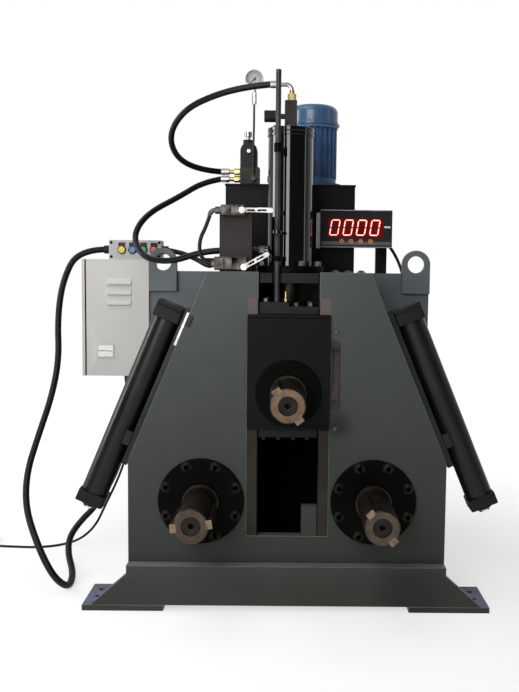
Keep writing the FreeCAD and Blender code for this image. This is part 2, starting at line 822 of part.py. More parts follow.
def limit_switches():
    shapes = []
    for x0, x1, z0, z1, pivot in ((-231, -148, 1332, 1367, upper_pivot),
                                  (-252, -142, 1150, 1195, lower_pivot)):
        body = box(x0, x1, switch_front, column_front, z0, z1)
        body = body.makeChamfer(2.5, body.Edges)
        cover = box(x0 + 6, x0 + 60, switch_front - 3, switch_front + 3, z0 + 4, z1 - 4)
        cover = cover.cut(box(x0 + 31, x0 + 35, switch_front - 4, switch_front, z0, z1))
        head = rod(13, (pivot[0], switch_front - 4, pivot[1]), (pivot[0], switch_front + 3, pivot[1]))
        shapes.append(fuse(body, cover, head))
    return shapes


def switch_lever(pivot, roller):
    # slotted arm on its shaft, with the roller at its end
    y1 = switch_front - 4 - seat
    y0 = y1 - lever_thick
    length = math.hypot(roller[0] - pivot[0], roller[1] - pivot[1])
    turn = math.degrees(math.atan2(roller[1] - pivot[1], roller[0] - pivot[0]))
    arm = box(-8, length, y0, y1, -8, 8)
    arm = fuse(arm, rod(8, (length, y0, 0), (length, y1, 0)), rod(11, (0, y0 - 3, 0), (0, y1, 0)))
    for x0, x1 in ((18, length / 2 - 4), (length / 2 + 4, length - 14)):
        arm = arm.cut(box(x0, x1, y0 - 1, y1 + 1, -3, 3))
    wheel = rod(lever_roller_radius, (length, y1 + seat, 0), (length, y1 + 12, 0))
    pin = rod(2, (length, y1, 0), (length, y1 + seat, 0))
    shapes = []
    for shape in (arm, wheel.fuse(pin)):
        shape.rotate(Vector(0, 0, 0), back, -turn)
        shape.translate(Vector(pivot[0], 0, pivot[1]))
        shapes.append(shape)
    return shapes


# ---- hydraulic unit ----

def oil_tank():
    # sheet tank with its lid, breather and the pump body hanging from the lid
    outer = box(-tank_half, tank_half, tank_front, tank_rear, frame_top, tank_top)
    outer = outer.makeFillet(10, [edge for edge in outer.Edges if edge.BoundBox.ZLength > 100])
    inner = box(-tank_half + tank_wall, tank_half - tank_wall, tank_front + tank_wall, tank_rear - tank_wall,
                frame_top + tank_wall, tank_top + 1)
    shell = outer.cut(inner)
    lid = box(-tank_half - lid_overhang, tank_half + lid_overhang, tank_front - lid_overhang,
              tank_rear + lid_overhang, tank_top, tank_top + lid_thick)
    pump = fuse(rod(42, (motor_x, motor_y, tank_top - 110), (motor_x, motor_y, tank_top)),
                rod(24, (motor_x, motor_y, frame_top + 60), (motor_x, motor_y, tank_top - 110)))
    breather = fuse(rod(24, (-60, 590, tank_top + lid_thick), (-60, 590, tank_top + 40)),
                    rod(34, (-60, 590, tank_top + 40), (-60, 590, tank_top + 64)))
    return [shell, lid, pump, breather]


def pump_motor():
    # finned motor standing on the lid, its terminal box at the back, and the fan cowl as a shell
    foot = tank_top + lid_thick
    centre = (motor_x, motor_y, 0)
    flange = rod(motor_flange_radius, (motor_x, motor_y, foot), (motor_x, motor_y, foot + motor_flange_thick))
    core = rod(motor_core_radius, (motor_x, motor_y, foot + motor_flange_thick),
               (motor_x, motor_y, motor_body_top))
    fin = box(motor_x + motor_core_radius - 3, motor_x + motor_fin_radius, motor_y - motor_fin_thick / 2,
              motor_y + motor_fin_thick / 2, foot + 34, motor_body_top - 4)
    collar = rod(motor_fin_radius - 2, (motor_x, motor_y, foot + motor_flange_thick),
                 (motor_x, motor_y, foot + 34))
    terminal = box(motor_x - 45, motor_x + 45, motor_y + 60, motor_y + 128,
                   foot + 78, foot + 168)
    body = fuse(flange, core, collar, terminal, *around(fin, motor_fin_count, centre, (0, 0, 1)))
    body = body.cut(rod(12 + running, (motor_x, motor_y, motor_body_top - 40),
                        (motor_x, motor_y, motor_body_top + 1)))
    skirt = motor_body_top - 2
    outside = rod(cowl_radius, (motor_x, motor_y, skirt), (motor_x, motor_y, cowl_top))
    rim = [edge for edge in outside.Edges if edge.BoundBox.ZMin > cowl_top - 1]
    outside = outside.makeFillet(cowl_fillet, rim)
    bead = rod(cowl_radius + cowl_bead, (motor_x, motor_y, skirt),
               (motor_x, motor_y, skirt + cowl_bead_height))
    outside = fuse(outside, bead.makeFillet(cowl_bead - 0.5, bead.Edges))
    inside = rod(cowl_radius - cowl_wall, (motor_x, motor_y, motor_body_top + 2),
                 (motor_x, motor_y, cowl_top - cowl_wall))
    inside = inside.makeFillet(cowl_fillet - cowl_wall,
                               [edge for edge in inside.Edges if edge.BoundBox.ZMin > cowl_top - 4])
    lip = rod(motor_core_radius + seat, (motor_x, motor_y, skirt - 1), (motor_x, motor_y, motor_body_top + 3))
    cowl = outside.cut(inside).cut(lip)
    slot = box(motor_x + 20, motor_x + 68, motor_y - 3, motor_y + 3, cowl_top - 10, cowl_top + 1)
    for cutter in around(slot, 12, centre, (0, 0, 1)):
        cowl = cowl.cut(cutter)
    seat_ring = tube(cowl_radius, motor_core_radius, (motor_x, motor_y, motor_body_top - 12),
                     (motor_x, motor_y, skirt))
    fins_clear = body.cut(tube(cowl_radius + 20, motor_core_radius, (motor_x, motor_y, motor_body_top - 13),
                               (motor_x, motor_y, motor_body_top + 1)))
    return [fins_clear.fuse(seat_ring), cowl]


def motor_fan():
    z0 = motor_body_top + 12
    hub = rod(24, (motor_x, motor_y, z0), (motor_x, motor_y, z0 + 44))
    disc = rod(84, (motor_x, motor_y, z0), (motor_x, motor_y, z0 + 3))
    blade = box(motor_x + 20, motor_x + 82, motor_y - 1.5, motor_y + 1.5, z0 + 2, z0 + 46)
    stub = rod(12, (motor_x, motor_y, motor_body_top - 38), (motor_x, motor_y, z0))
    return fuse(hub, disc, stub, *around(blade, 7, (motor_x, motor_y, 0), (0, 0, 1)))


def valve_manifold():
    # port block on the lid, domed relief valve above it and its set screw cap
    foot = tank_top + lid_thick
    block = box(manifold_left, manifold_right, manifold_front, manifold_rear, foot, manifold_top)
    block = block.makeChamfer(1.5, block.Edges)
    middle_y = (manifold_front + manifold_rear) / 2
    dome_x, dome_z = manifold_left + dome_radius, manifold_top + dome_rise
    front, rear = middle_y - 30, middle_y + 30
    body = box(dome_x - dome_radius, dome_x + dome_radius, front, rear, manifold_top, dome_z)
    dome = rod(dome_radius, (dome_x, front, dome_z), (dome_x, rear, dome_z))
    hub = hexagon(15, (dome_x, front + 1, dome_z), (0, -1, 0), 7)
    neck = rod(19, (dome_x - 4, middle_y, dome_z + 20), (dome_x - 4, middle_y, dome_z + 44))
    screw = rod(9, (dome_x - 4, middle_y, dome_z + 44), (dome_x - 4, middle_y, dome_z + 56))
    cap = rod(14, (dome_x - 4, middle_y, dome_z + 56), (dome_x - 4, middle_y, dome_z + 74))
    return [block, fuse(body, dome, neck), hub.common(rod(20, (dome_x, 0, dome_z), (dome_x, front, dome_z))),
            fuse(screw, cap)]


def pressure_gauge():
    # case, capillary tube and its two nuts
    axis_y = gauge_front + gauge_depth / 2
    case = rod(gauge_radius, (gauge_x, gauge_front, gauge_height),
               (gauge_x, gauge_front + gauge_depth, gauge_height))
    well = rod(gauge_radius - 4, (gauge_x, gauge_front - 1, gauge_height),
               (gauge_x, gauge_front + 9, gauge_height))
    glass = rod(gauge_radius - 4, (gauge_x, gauge_front + 1, gauge_height),
                (gauge_x, gauge_front + 3, gauge_height))
    neck_foot = gauge_height - gauge_neck_length
    spigot = rod(7, (gauge_x, axis_y, neck_foot + 44), (gauge_x, axis_y, gauge_height - gauge_radius + 2))
    socket = hexagon(16, (gauge_x, axis_y, neck_foot), (0, 0, 1), 44)
    low_y = manifold_front - 12
    port = lid_top + gauge_port_height
    rise = neck_foot - port
    tube_points = [(gauge_x, low_y, port), (gauge_x, low_y, port + 0.432 * rise),
                   (gauge_x, axis_y, port + 0.727 * rise), (gauge_x, axis_y, neck_foot)]
    line = cord_solid("gauge tube", tube_points, 4)
    nut = hexagon(18, (gauge_x, manifold_front, port), (0, -1, 0), 20)
    return [fuse(case.cut(well), spigot, socket), glass, line.cut(nut), nut]


def gauge_needle():
    y0 = gauge_front + 5
    hub = rod(4, (gauge_x, y0, gauge_height), (gauge_x, y0 + 4 - seat, gauge_height))
    pointer = plate_xz([(gauge_x - 1.5, gauge_height - 9), (gauge_x + 1.5, gauge_height - 9),
                        (gauge_x + 0.4, gauge_height + 24), (gauge_x - 0.4, gauge_height + 24)], y0, y0 + 1.2)
    pointer.rotate(Vector(gauge_x, 0, gauge_height), back, 225)
    return fuse(hub, pointer)


# ---- display ----

def display_case():
    # instrument case with a recessed face and a side cheek, on an arm and post from the rear plate
    y1 = display_front + display_depth
    case = box(display_left, display_right, display_front, y1, display_bottom, display_top)
    case = case.makeFillet(3, case.Edges)
    face = box(display_left + 5, display_right - 5, display_front - 1, display_front + 2,
               display_bottom + 8, display_top - 5)
    cheek = box(display_left - display_cheek, display_left, display_front + 4, y1 - 4,
                display_bottom - 3, display_top - 12)
    arm_top = (display_bottom + display_top + arm_height) / 2 - 30
    post = box(post_left, post_left + post_width, rear_front, rear_back, frame_top, arm_top)
    arm = box(post_left, post_left + post_width, y1, rear_front, arm_top - arm_height, arm_top)
    return [case.cut(face), cheek, fuse(post, arm)]


# ---- electrical cabinet and buttons ----

def cabinet_shell():
    outer = box(cabinet_left, cabinet_right, cabinet_front, cabinet_rear, cabinet_bottom, cabinet_top)
    inner = box(cabinet_left + sheet, cabinet_right - sheet, cabinet_front - 1, cabinet_rear - sheet,
                cabinet_bottom + sheet, cabinet_top - sheet)
    shell = outer.cut(inner)
    strip = box(cabinet_left, door_left - door_gap, cabinet_front - door_thick, cabinet_front,
                cabinet_bottom, cabinet_top)
    seal = box(door_left - door_gap, door_left - 1.5, cabinet_front - 8, cabinet_front,
               cabinet_bottom + 2, cabinet_top - 2)
    return [fuse(shell, strip), seal]


def electrical_gear():
    # mounting plate with two rails of contactors, breakers and terminals, and the transformer
    x0, x1 = cabinet_left + 20, cabinet_right - 20
    y = cabinet_rear - sheet
    plate = box(x0, x1, y - 3, y, cabinet_bottom + 25, cabinet_top - 25)
    shapes = [plate]
    for z in (1100, 975, 850):
        shapes[0] = shapes[0].fuse(box(x0 + 8, x1 - 8, y - 11, y - 3, z - 17, z + 17))
    rows = ((5, 34, 70, 82, 1100), (4, 45, 86, 78, 975), (12, 14, 45, 50, 850))
    for count, width, depth, height, z in rows:
        pitch = width + 1
        start = (x0 + x1) / 2 - pitch * count / 2
        for item in range(count):
            left = start + item * pitch
            shapes.append(box(left, left + width, y - 11 - depth, y - 11, z - height / 2, z + height / 2))
    return shapes


def louvre(top, face):
    # pressed hood that stands out towards its lower edge and is open below, and its opening
    x0 = door_left + louvre_offset
    x1, foot, wall = x0 + louvre_width, top - louvre_height, 1.5
    profile = [(face, top), (face - louvre_depth, foot + 6), (face - louvre_depth, foot), (face, foot)]
    hood = prism([(x0, y, z) for y, z in profile], (louvre_width, 0, 0))
    hollow = [(face + sheet + 1, top - 5), (face - louvre_depth + wall, foot + 5),
              (face - louvre_depth + wall, foot - 1), (face + sheet + 1, foot - 1)]
    return hood, prism([(x0 + wall, y, z) for y, z in hollow], (x1 - x0 - 2 * wall, 0, 0))


def cabinet_door():
    # folded door with its louvres and the fixed plate of its latch
    y0, y1 = cabinet_front - door_thick, cabinet_front - seat
    door = box(door_left, door_right, y0, y1, cabinet_bottom + 1, cabinet_top - 1)
    hollow = box(door_left + sheet, door_right - sheet, y0 + sheet, y1 + 1,
                 cabinet_bottom + 3, cabinet_top - 3)
    door = door.cut(hollow)
    for row in range(louvre_count):
        hood, opening = louvre(louvre_top - row * louvre_pitch, y0)
        door = door.fuse(hood).cut(opening)
    x0, x1 = door_left + latch_offset, door_left + latch_offset + latch_width
    frame = box(x0 - 4.5, x1 + 4.5, y0 - 3, y0, 808, 862)
    frame = frame.cut(box(x0 - 0.5, x1 + 0.5, y0 - 4, y0 + 1, 812, 858))
    stop = box(x0 + 5.5, x1 - 5.5, y0 + sheet, y0 + 10, 820, 850)
    return fuse(door, frame, stop)


def door_latch():
    y0 = cabinet_front - door_thick
    x0 = door_left + latch_offset
    plate = box(x0, x0 + latch_width, y0 - 5, y0 - seat, 813, 857)
    middle = (813 + 857) / 2
    return plate.cut(box(x0 - 1, x0 + latch_width - 5, y0 - 6, y0 - 2,
                         middle - latch_slot_height / 2, middle + latch_slot_height / 2))


def cable_glands():
    shapes = []
    for x, y, radius in ((cabinet_left + cable_gland_offset, 495, 17),
                         (cabinet_left + supply_gland_offset, supply_gland_y, 11)):
        nut = hexagon(2 * radius - 2, (x, y, cabinet_bottom), (0, 0, -1), 14)
        shapes.append(fuse(nut, rod(radius - 2, (x, y, cabinet_bottom - 32), (x, y, cabinet_bottom - 14))))
    middle = (station_front + station_rear) / 2
    for x0, x1 in ((station_left, station_left - 22), (station_right, station_right + 22)):
        shapes.append(rod(16, (x0, middle, 1226), (x1, middle, 1226)))
    x, z = display_gland
    y = display_front + display_depth
    shapes.append(rod(9, (x, y, z), (x, y + 14, z)))
    x, z = frame_gland
    shapes.append(fuse(rod(10, (x, rear_back, z), (x, rear_back + 22, z)),
                       rod(10, (x, rear_back + 12, z - 12), (x, rear_back + 12, z + 14))))
    shapes.append(switch_elbow((-231, -40, 1349), (-268, -40, 1331)))
    shapes.append(hexagon(switch_gland_width, (-252, -40, 1170), (-1, 0, 0), 10))
    shapes.append(fuse(box(-287, column_left, 8, 30, 1169, 1191), box(-287, -265, 8, 34, 1169, 1191)))
    return shapes


def switch_elbow(start, end):
    # hexagon nut on the upper switch and a quarter bend down to its cable
    x, y, z = start
    bend = z - end[2]
    x1 = end[0] + bend
    nut = hexagon(switch_gland_width + 2, start, (-1, 0, 0), x - x1)
    middle = Vector(end[0] + bend * (1 - math.sqrt(0.5)), y, end[2] + bend * math.sqrt(0.5))
    path = Part.Arc(Vector(x1, y, z), middle, Vector(end[0], y, end[2])).toShape()
    profile = Part.Wire(Part.makeCircle(8, Vector(x1, y, z), right))
    return nut.fuse(Part.Wire([path]).makePipeShell([profile], True, False))


def station_box():
    # box on the cabinet with four round button rims, and a blank legend plate above each
    shell = box(station_left, station_right, station_front, station_rear, cabinet_top, station_top)
    shell = shell.makeFillet(4, [edge for edge in shell.Edges if edge.BoundBox.ZMax > cabinet_top + 1])
    bezels = []
    for x in button_places.values():
        bore = button_radius + button_gap
        well = rod(bore, (x, station_front - 1, button_height), (x, station_front + 12, button_height))
        shell = shell.cut(well)
        bezels.append(tube(bore + button_rim, bore, (x, station_front - 5, button_height),
                           (x, station_front, button_height)))
        foot = button_height + bore + button_rim - 3
        legend = box(x - legend_width / 2, x + legend_width / 2, station_front - legend_thick, station_front,
                     foot, foot + legend_height)
        bezels.append(legend.cut(rod(bore + button_rim, (x, station_front - 5, button_height),
                                     (x, station_front, button_height))))
    return [shell] + bezels


def push_button(x):
    cap = rod(button_radius, (x, station_front - button_stand, button_height),
              (x, station_front + 4, button_height))
    return cap.makeChamfer(1.5, [edge for edge in cap.Edges if edge.BoundBox.YMax < station_front - 5])


# ---- side actuators ----

def side_cylinders():
    # barrel between two square heads, the lower head with its rod gland
    half = side_head_size / 2
    shapes = []
    for side in (-1, 1):
        for along0, along1 in (side_upper_head, side_lower_head):
            head = slope_block(along0, along1, side_offset - half, side_offset + half,
                               side_y - half, side_y + half)
            head = head.makeFillet(9, [edge for edge in head.Edges
                                       if abs(edge.Length - (along1 - along0)) < 0.1
                                       and edge.BoundBox.YLength < 1])
            if along0 == side_upper_head[0]:
                head = upper_head_detail(head)
            if along0 == side_lower_head[0]:
                head = fuse(head, slope_rod(side_gland_radius, along1 - 1, along1 + side_gland_length))
                head = head.cut(slope_rod(side_rod_radius + running, along0 - 1, along1 + 30))
            shapes.append(head if side > 0 else mirror(head))
        barrel = slope_rod(side_barrel_radius, side_upper_head[1], side_lower_head[0])
        barrel = barrel.cut(slope_rod(side_bore_radius, side_upper_head[1] - 1, side_lower_head[0] + 1))
        shapes.append(barrel if side > 0 else mirror(barrel))
    return shapes


def upper_head_detail(head):
    # groove under the end plate, and counterbored screws in its top face
    half = side_head_size / 2
    g0, g1 = side_head_groove
    groove = slope_block(g0, g1, side_offset - half - 1, side_offset + half + 1,
                         side_y - half - 1, side_y + half + 1)
    core = half - side_groove_depth
    head = head.cut(groove.cut(slope_block(g0 - 1, g1 + 1, side_offset - core, side_offset + core,
                                           side_y - core, side_y + core)))
    start = side_upper_head[0]
    for across in (-side_screw_place, side_screw_place):
        for away in (-side_screw_place, side_screw_place):
            pit = slope_rod(side_counterbore, start - 1, start + 9, across, away)
            head = head.cut(pit.cut(slope_rod(side_screw_radius, start + 1, start + 10, across, away)))
    return head


def slope_rod(radius, along0, along1, across=0, away=0):
    # a cylinder along the right actuator, by default on its axis
    x0, z0 = on_slope(along0, side_offset + away)
    x1, z1 = on_slope(along1, side_offset + away)
    return rod(radius, (x0, side_y + across, z0), (x1, side_y + across, z1))


def side_rod(side):
    stroke_start = side_upper_head[1] + 60
    shaft = slope_rod(side_rod_radius, stroke_start, side_lower_head[1] + side_gland_length + 8)
    piston = slope_rod(side_bore_radius - running, stroke_start - 40, stroke_start)
    shape = fuse(shaft, piston)
    return shape if side > 0 else mirror(shape)


def side_rails():
    # flat bar on each slope under the actuator with a saddle that holds its barrel,
    # and on the left a bright edge strip with its clamp on the front plate
    half = side_rail_width / 2
    rail = slope_block(side_rail_start, slope_length() + side_rail_overrun, 0, side_rail_height,
                       side_y - half, side_y + half)
    saddle = slope_block(600, 650, side_rail_height, side_offset, side_y - half - 8, side_y + half + 8)
    saddle = saddle.cut(slope_rod(side_barrel_radius + seat, 590, 660))
    bar = fuse(rail, saddle)
    e0, e1 = end_bar_along
    strip = slope_block(e0, e1, 0, end_bar_width, front_face, front_face + end_bar_thick)
    clamp = slope_block(e0 + 8, e0 + 44, -16, -1, front_face - 10, front_face)
    return [bar, mirror(bar), mirror(strip), mirror(clamp)]


# ---- hoses and cords ----

def cord_solid(name, points, radius):
    # a round cord along straight runs joined by tangent arcs, as large as the runs allow
    places = [Vector(*point) for point in points]
    edges, start, tightest = [], places[0], None
    for before, corner, after in zip(places, places[1:], places[2:]):
        inward, outward = corner - before, after - corner
        turn = inward.getAngle(outward)
        reach = 0.45 * min(inward.Length, outward.Length)
        bend = reach / math.tan(turn / 2)
        enter = corner - inward.normalize() * reach
        leave = corner + outward.normalize() * reach
        to_centre = (outward - inward).normalize()
        middle = corner + to_centre * (math.hypot(reach, bend) - bend)
        edges.append(Part.LineSegment(start, enter).toShape())
        edges.append(Part.Arc(enter, middle, leave).toShape())
        start = leave
        tightest = bend if tightest is None else min(tightest, bend)
    edges.append(Part.LineSegment(start, places[-1]).toShape())
    path = Part.Wire(edges)
    profile = Part.Wire(Part.makeCircle(radius, places[0], places[1] - places[0]))
    solid = path.makePipeShell([profile], True, False)
    expected = math.pi * radius ** 2 * path.Length
    print(name, "length", round(path.Length), "tightest radius", round(tightest),
          "volume ratio", round(solid.Volume / expected, 4))
    return solid


hose_upper_route = [(-72, 70, 1785), (-150, 78, 1779), (-268, 110, 1755), (-378, 165, 1714),
                    (-441, 225, 1638), (-424, 287, 1562), (-342, 346, 1525), (-263, 376, 1523)]
hose_lower_route = [(-263, 376, 1495.5), (-331, 366, 1482), (-417, 330, 1423), (-530, 275, 1355),
                    (-572, 215, 1270), (-524, 150, 1190), (-420, 110, 1176), (-311, 84, 1212),
                    (-222, 73, 1220), (-140, 70, 1220)]
pendant_route = [(-722, 442, 1226), (-822, 430, 1222), (-873, 392, 1105), (-882, 345, 960),
                 (-866, 300, 810), (-884, 258, 672), (-925, 218, 530), (-958, 180, 400),
                 (-946, 122, 285), (-887, 53, 178), (-831, 10, 94), (-800, 26, 44), (-783, 75, 12.5),
                 (-786, 140, 12.5), (-802, 215, 24), (-833, 275, 62), (-842, 320, 112), (-812, 363, 162),
                 (-755, 402, 218), (-702, 440, 305), (-662, 473, 415), (-643, 493, 545), (-642, 495, 705)]
top_conduit_route = [(-473, 442, 1226), (-418, 440, 1216), (-360, 406, 1192), (-322, 345, 1173),
                     (-300, 270, 1167), (-285, 190, 1168), (-277, 115, 1176), (-276, 34, 1180)]
display_route = [(300, 339, 1318), (301, 372, 1320), (312, 414, 1319), (345, 452, 1300), (385, 470, 1262),
                 (420, 472, 1212), (444, 464, 1152), (455, 452, 1090), (456, 444, 1030), (455, 442, 974)]
switch_cable_route = [(-268, -40, 1331), (-280, -40, 1295), (-300, -40, 1255), (-303, -40, 1214),
                      (-291, -40, 1183), (-262, -40, 1170)]
mains_route = [(-660, 555, 705), (-659, 556, 600), (-656, 559, 490), (-666, 566, 380), (-706, 579, 275),
               (-758, 597, 172), (-801, 602, 78), (-866, 592, 20), (-945, 562, 5), (-1030, 534, 5),
               (-1137, 542, 5), (-1252, 555, 5)]


def mains_cable():
    # the supply cable, ending face to face with the coil's outer turn
    x, y = coil_place
    outer = coil_inner_radius + 2 * mains_radius * coil_turns_wide
    cable = cord_solid("mains cable", mains_route, mains_radius)
    return cable.cut(rod(outer, (x, y, -1), (x, y, 2 * mains_radius * coil_turns_high)))


def mains_coil():
    x, y = coil_place
    outer = coil_inner_radius + 2 * mains_radius * coil_turns_wide
    return tube(outer, coil_inner_radius, (x, y, 0), (x, y, 2 * mains_radius * coil_turns_high))


def mains_plug():
    # boot beside the coil's outer turn, gland nut, grip and the shroud round the pins
    outer = coil_inner_radius + 2 * mains_radius * coil_turns_wide
    x, z = coil_place[0] - outer + mains_radius, plug_radius
    boot_radius = mains_radius + 2
    reach = math.sqrt(outer ** 2 - (outer - mains_radius - boot_radius) ** 2)
    y = coil_place[1] + reach + seat
    boot = rod(boot_radius, (x, y, z), (x, y + 16, z))
    nut = rod(14, (x, y + 16, z), (x, y + 34, z))
    grip = rod(plug_radius - 3, (x, y + 34, z), (x, y + 96, z))
    shroud = tube(plug_radius, plug_radius - 4, (x, y + 96, z), (x, y + 134, z))
    face = rod(plug_radius, (x, y + 96, z), (x, y + 104, z))
    pin = rod(3, (x + 12, y + 100, z), (x + 12, y + 128, z))
    return fuse(boot, nut, grip, shroud, face, *around(pin, 4, (x, 0, z), (0, 1, 0), 45))


# ---- write every piece ----

os.makedirs("parts", exist_ok=True)

export("base_plinth", base_plinth(), *foot_plates())
export("front_plate", front_plate())
export("rear_plate", rear_plate(), *lifting_lugs())
export("frame_walls", *frame_walls())
export("guide_rails", *guide_rails())
export("cylinder_plate", cylinder_plate())
export("cylinder_barrel", cylinder_barrel())
export("cylinder_heads", *cylinder_heads())
export("throttle_knob", throttle_knob())
export("hose_fittings", flow_valve(), *hose_fittings())
export("frame_bolts", *frame_bolts())
export("bearing_housings", *bearing_housings())
export("left_shaft", *lower_shaft(-1, 187))
export("right_shaft", *lower_shaft(1, 130))
export("top_shaft", *top_shaft())
export("left_gear", lower_gear(-1))
export("right_gear", lower_gear(1))
export("drive_pinion", drive_pinion())
export("gear_reducer", *gear_reducer())
export("slide_block", slide_block())
export("slide_face_plate", slide_face_plate())
export("slide_bearing_cover", *slide_bearing_cover())
export("slide_end_plates", *slide_end_plates())
export("slide_bolts", *slide_bolts())
export("piston_rod", piston_rod())
export("trip_rod", *trip_rod())
export("switch_column", switch_column())
export("limit_switches", *limit_switches())
export("upper_lever", *switch_lever(upper_pivot, upper_roller))
export("lower_lever", *switch_lever(lower_pivot, lower_roller))
export("oil_tank", *oil_tank())
export("pump_motor", *pump_motor())
export("motor_fan", motor_fan())
export("valve_manifold", *valve_manifold())
export("pressure_gauge", *pressure_gauge())
export("gauge_needle", gauge_needle())
export("display_case", *display_case())
export("cabinet_shell", *cabinet_shell())
export("electrical_gear", *electrical_gear())
export("cabinet_door", cabinet_door())
export("door_latch", door_latch())
export("cable_glands", *cable_glands())
export("station_box", *station_box())
for colour, place in button_places.items():
    export(colour + "_button", push_button(place))
export("side_cylinders", *side_cylinders())
export("left_side_rod", side_rod(-1))
export("right_side_rod", side_rod(1))
export("side_rails", *side_rails())
export("hose_upper", cord_solid("upper hose", hose_upper_route, hose_radius))
export("hose_lower", cord_solid("lower hose", hose_lower_route, hose_radius))
export("pendant_conduit", cord_solid("pendant conduit", pendant_route, conduit_radius))
export("top_conduit", cord_solid("top conduit", top_conduit_route, top_conduit_radius))
export("display_cable", cord_solid("display cable", display_route, display_cable_radius))
export("switch_cable", cord_solid("switch cable", switch_cable_route, switch_cable_radius))
export("mains_cable", mains_cable())
export("mains_coil", mains_coil())
export("mains_plug", mains_plug())
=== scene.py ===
import bpy
import bmesh
import json
import math
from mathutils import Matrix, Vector


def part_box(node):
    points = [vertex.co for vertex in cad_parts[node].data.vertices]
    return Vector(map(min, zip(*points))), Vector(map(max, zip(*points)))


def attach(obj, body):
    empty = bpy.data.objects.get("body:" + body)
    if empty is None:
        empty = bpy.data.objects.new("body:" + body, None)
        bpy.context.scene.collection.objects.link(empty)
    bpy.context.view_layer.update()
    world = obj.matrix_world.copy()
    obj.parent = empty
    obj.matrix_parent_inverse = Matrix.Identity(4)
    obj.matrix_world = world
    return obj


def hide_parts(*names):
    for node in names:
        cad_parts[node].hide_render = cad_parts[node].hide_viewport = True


# Hydraulic three-roll section bender. Blender works in metres; mm() turns millimetres into them.
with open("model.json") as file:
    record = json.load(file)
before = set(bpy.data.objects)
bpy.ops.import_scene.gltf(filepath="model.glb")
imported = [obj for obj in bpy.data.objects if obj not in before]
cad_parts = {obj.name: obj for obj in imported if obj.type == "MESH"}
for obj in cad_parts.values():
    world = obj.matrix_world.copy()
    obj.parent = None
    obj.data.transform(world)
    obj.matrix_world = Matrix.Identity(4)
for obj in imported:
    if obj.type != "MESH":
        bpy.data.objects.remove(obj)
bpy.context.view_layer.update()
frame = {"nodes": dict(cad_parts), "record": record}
record = frame["record"]
bodyOf = {node: body for body, nodes in record["behaviour"]["bodies"].items() for node in nodes}
slotOf = {part["node"]: part["material_slot"] for part in record["subparts"]}
scene = bpy.context.scene


def mm(*values):
    # one length, or the three numbers of a place
    scaled = [value / 1000 for value in values]
    return scaled[0] if len(scaled) == 1 else Vector(scaled)


def hexColor(text):
    # sRGB hex to the linear colour a shader takes
    channels = [int(text[i:i + 2], 16) / 255 for i in (1, 3, 5)]
    return [c / 12.92 if c <= 0.04045 else ((c + 0.055) / 1.055) ** 2.4 for c in channels] + [1]


def add(tree, kind, links=None, **settings):
    # a node with its settings; its sockets take values, other nodes' sockets or a list of those
    node = tree.nodes.new(kind)
    for key, value in settings.items():
        setattr(node, key, value)
    for key, value in (links or {}).items():
        many = isinstance(value, list) and isinstance(value[0], bpy.types.NodeSocket)
        for item in value if many else [value]:
            if isinstance(item, bpy.types.NodeSocket):
                tree.links.new(item, node.inputs[key])
            else:
                node.inputs[key].default_value = item
    return node.outputs


def noiseScale(size):
    # scale of a noise whose blotches are about this many millimetres wide
    return 500 / size


def noise(tree, place, scale, detail=2, roughness=0.5):
    # cloudy noise from 0 to 1
    return add(tree, "ShaderNodeTexNoise", {"Vector": place, "Scale": scale, "Detail": detail,
                                            "Roughness": roughness})[0]


def spread(tree, value, low, high, toLow=0, toHigh=1):
    # what lies between low and high, spread between toLow and toHigh
    return add(tree, "ShaderNodeMapRange", {"Value": value, "From Min": low, "From Max": high,
                                            "To Min": toLow, "To Max": toHigh})[0]


def blend(tree, share, tone, text):
    # a tone mixed with a hex colour by a share
    return add(tree, "ShaderNodeMix", {0: share, 6: tone, 7: hexColor(text)}, data_type="RGBA")[2]


def calc(tree, operation, *values):
    # one step of arithmetic
    return add(tree, "ShaderNodeMath", dict(enumerate(values)), operation=operation)[0]


def axisOf(tree, vector, axis):
    # one coordinate of a vector
    return add(tree, "ShaderNodeSeparateXYZ", {"Vector": vector})[axis]


def distanceTo(tree, place, centre):
    # how far a place is from a centre given in millimetres
    return add(tree, "ShaderNodeVectorMath", {0: place, 1: mm(*centre)}, operation="DISTANCE")["Value"]


def newObject(name, data):
    # an object of this data, in the scene
    obj = bpy.data.objects.new(name, data)
    scene.collection.objects.link(obj)
    return obj


def emptyTree(holder):
    # the holder's node tree, cleared
    holder.use_nodes = True
    holder.node_tree.nodes.clear()
    return holder.node_tree


def startMaterial(name, values, metallic=0.0):
    # an empty material with its shader, and the piece's own coordinates
    material = bpy.data.materials.new(name)
    tree = emptyTree(material)
    shader = add(tree, "ShaderNodeBsdfPrincipled", {
        "Base Color": hexColor(values["color"]), "Metallic": metallic, "Roughness": values["rough"],
        "Specular IOR Level": values.get("spec", 0.5)})[0].node
    add(tree, "ShaderNodeOutputMaterial", {"Surface": shader.outputs[0]})
    return material, tree, shader, add(tree, "ShaderNodeTexCoord")["Object"]


def mottled(tree, place, tones, scale, edges, detail, roughness=0.5):
    # a cloudy noise, and the finish's two tones shared out by it
    cloud = noise(tree, place, scale, detail, roughness)
    return cloud, blend(tree, spread(tree, cloud, *edges), hexColor(tones[0]), tones[1])


def endMaterial(tree, shader, tone, height, strength, depthMm):
    # the shader takes its tone, and a relief this deep at most
    tree.links.new(tone, shader.inputs["Base Color"])
    relief = add(tree, "ShaderNodeBump", {"Height": height, "Strength": strength, "Distance": mm(depthMm)})[0]
    tree.links.new(relief, shader.inputs["Normal"])


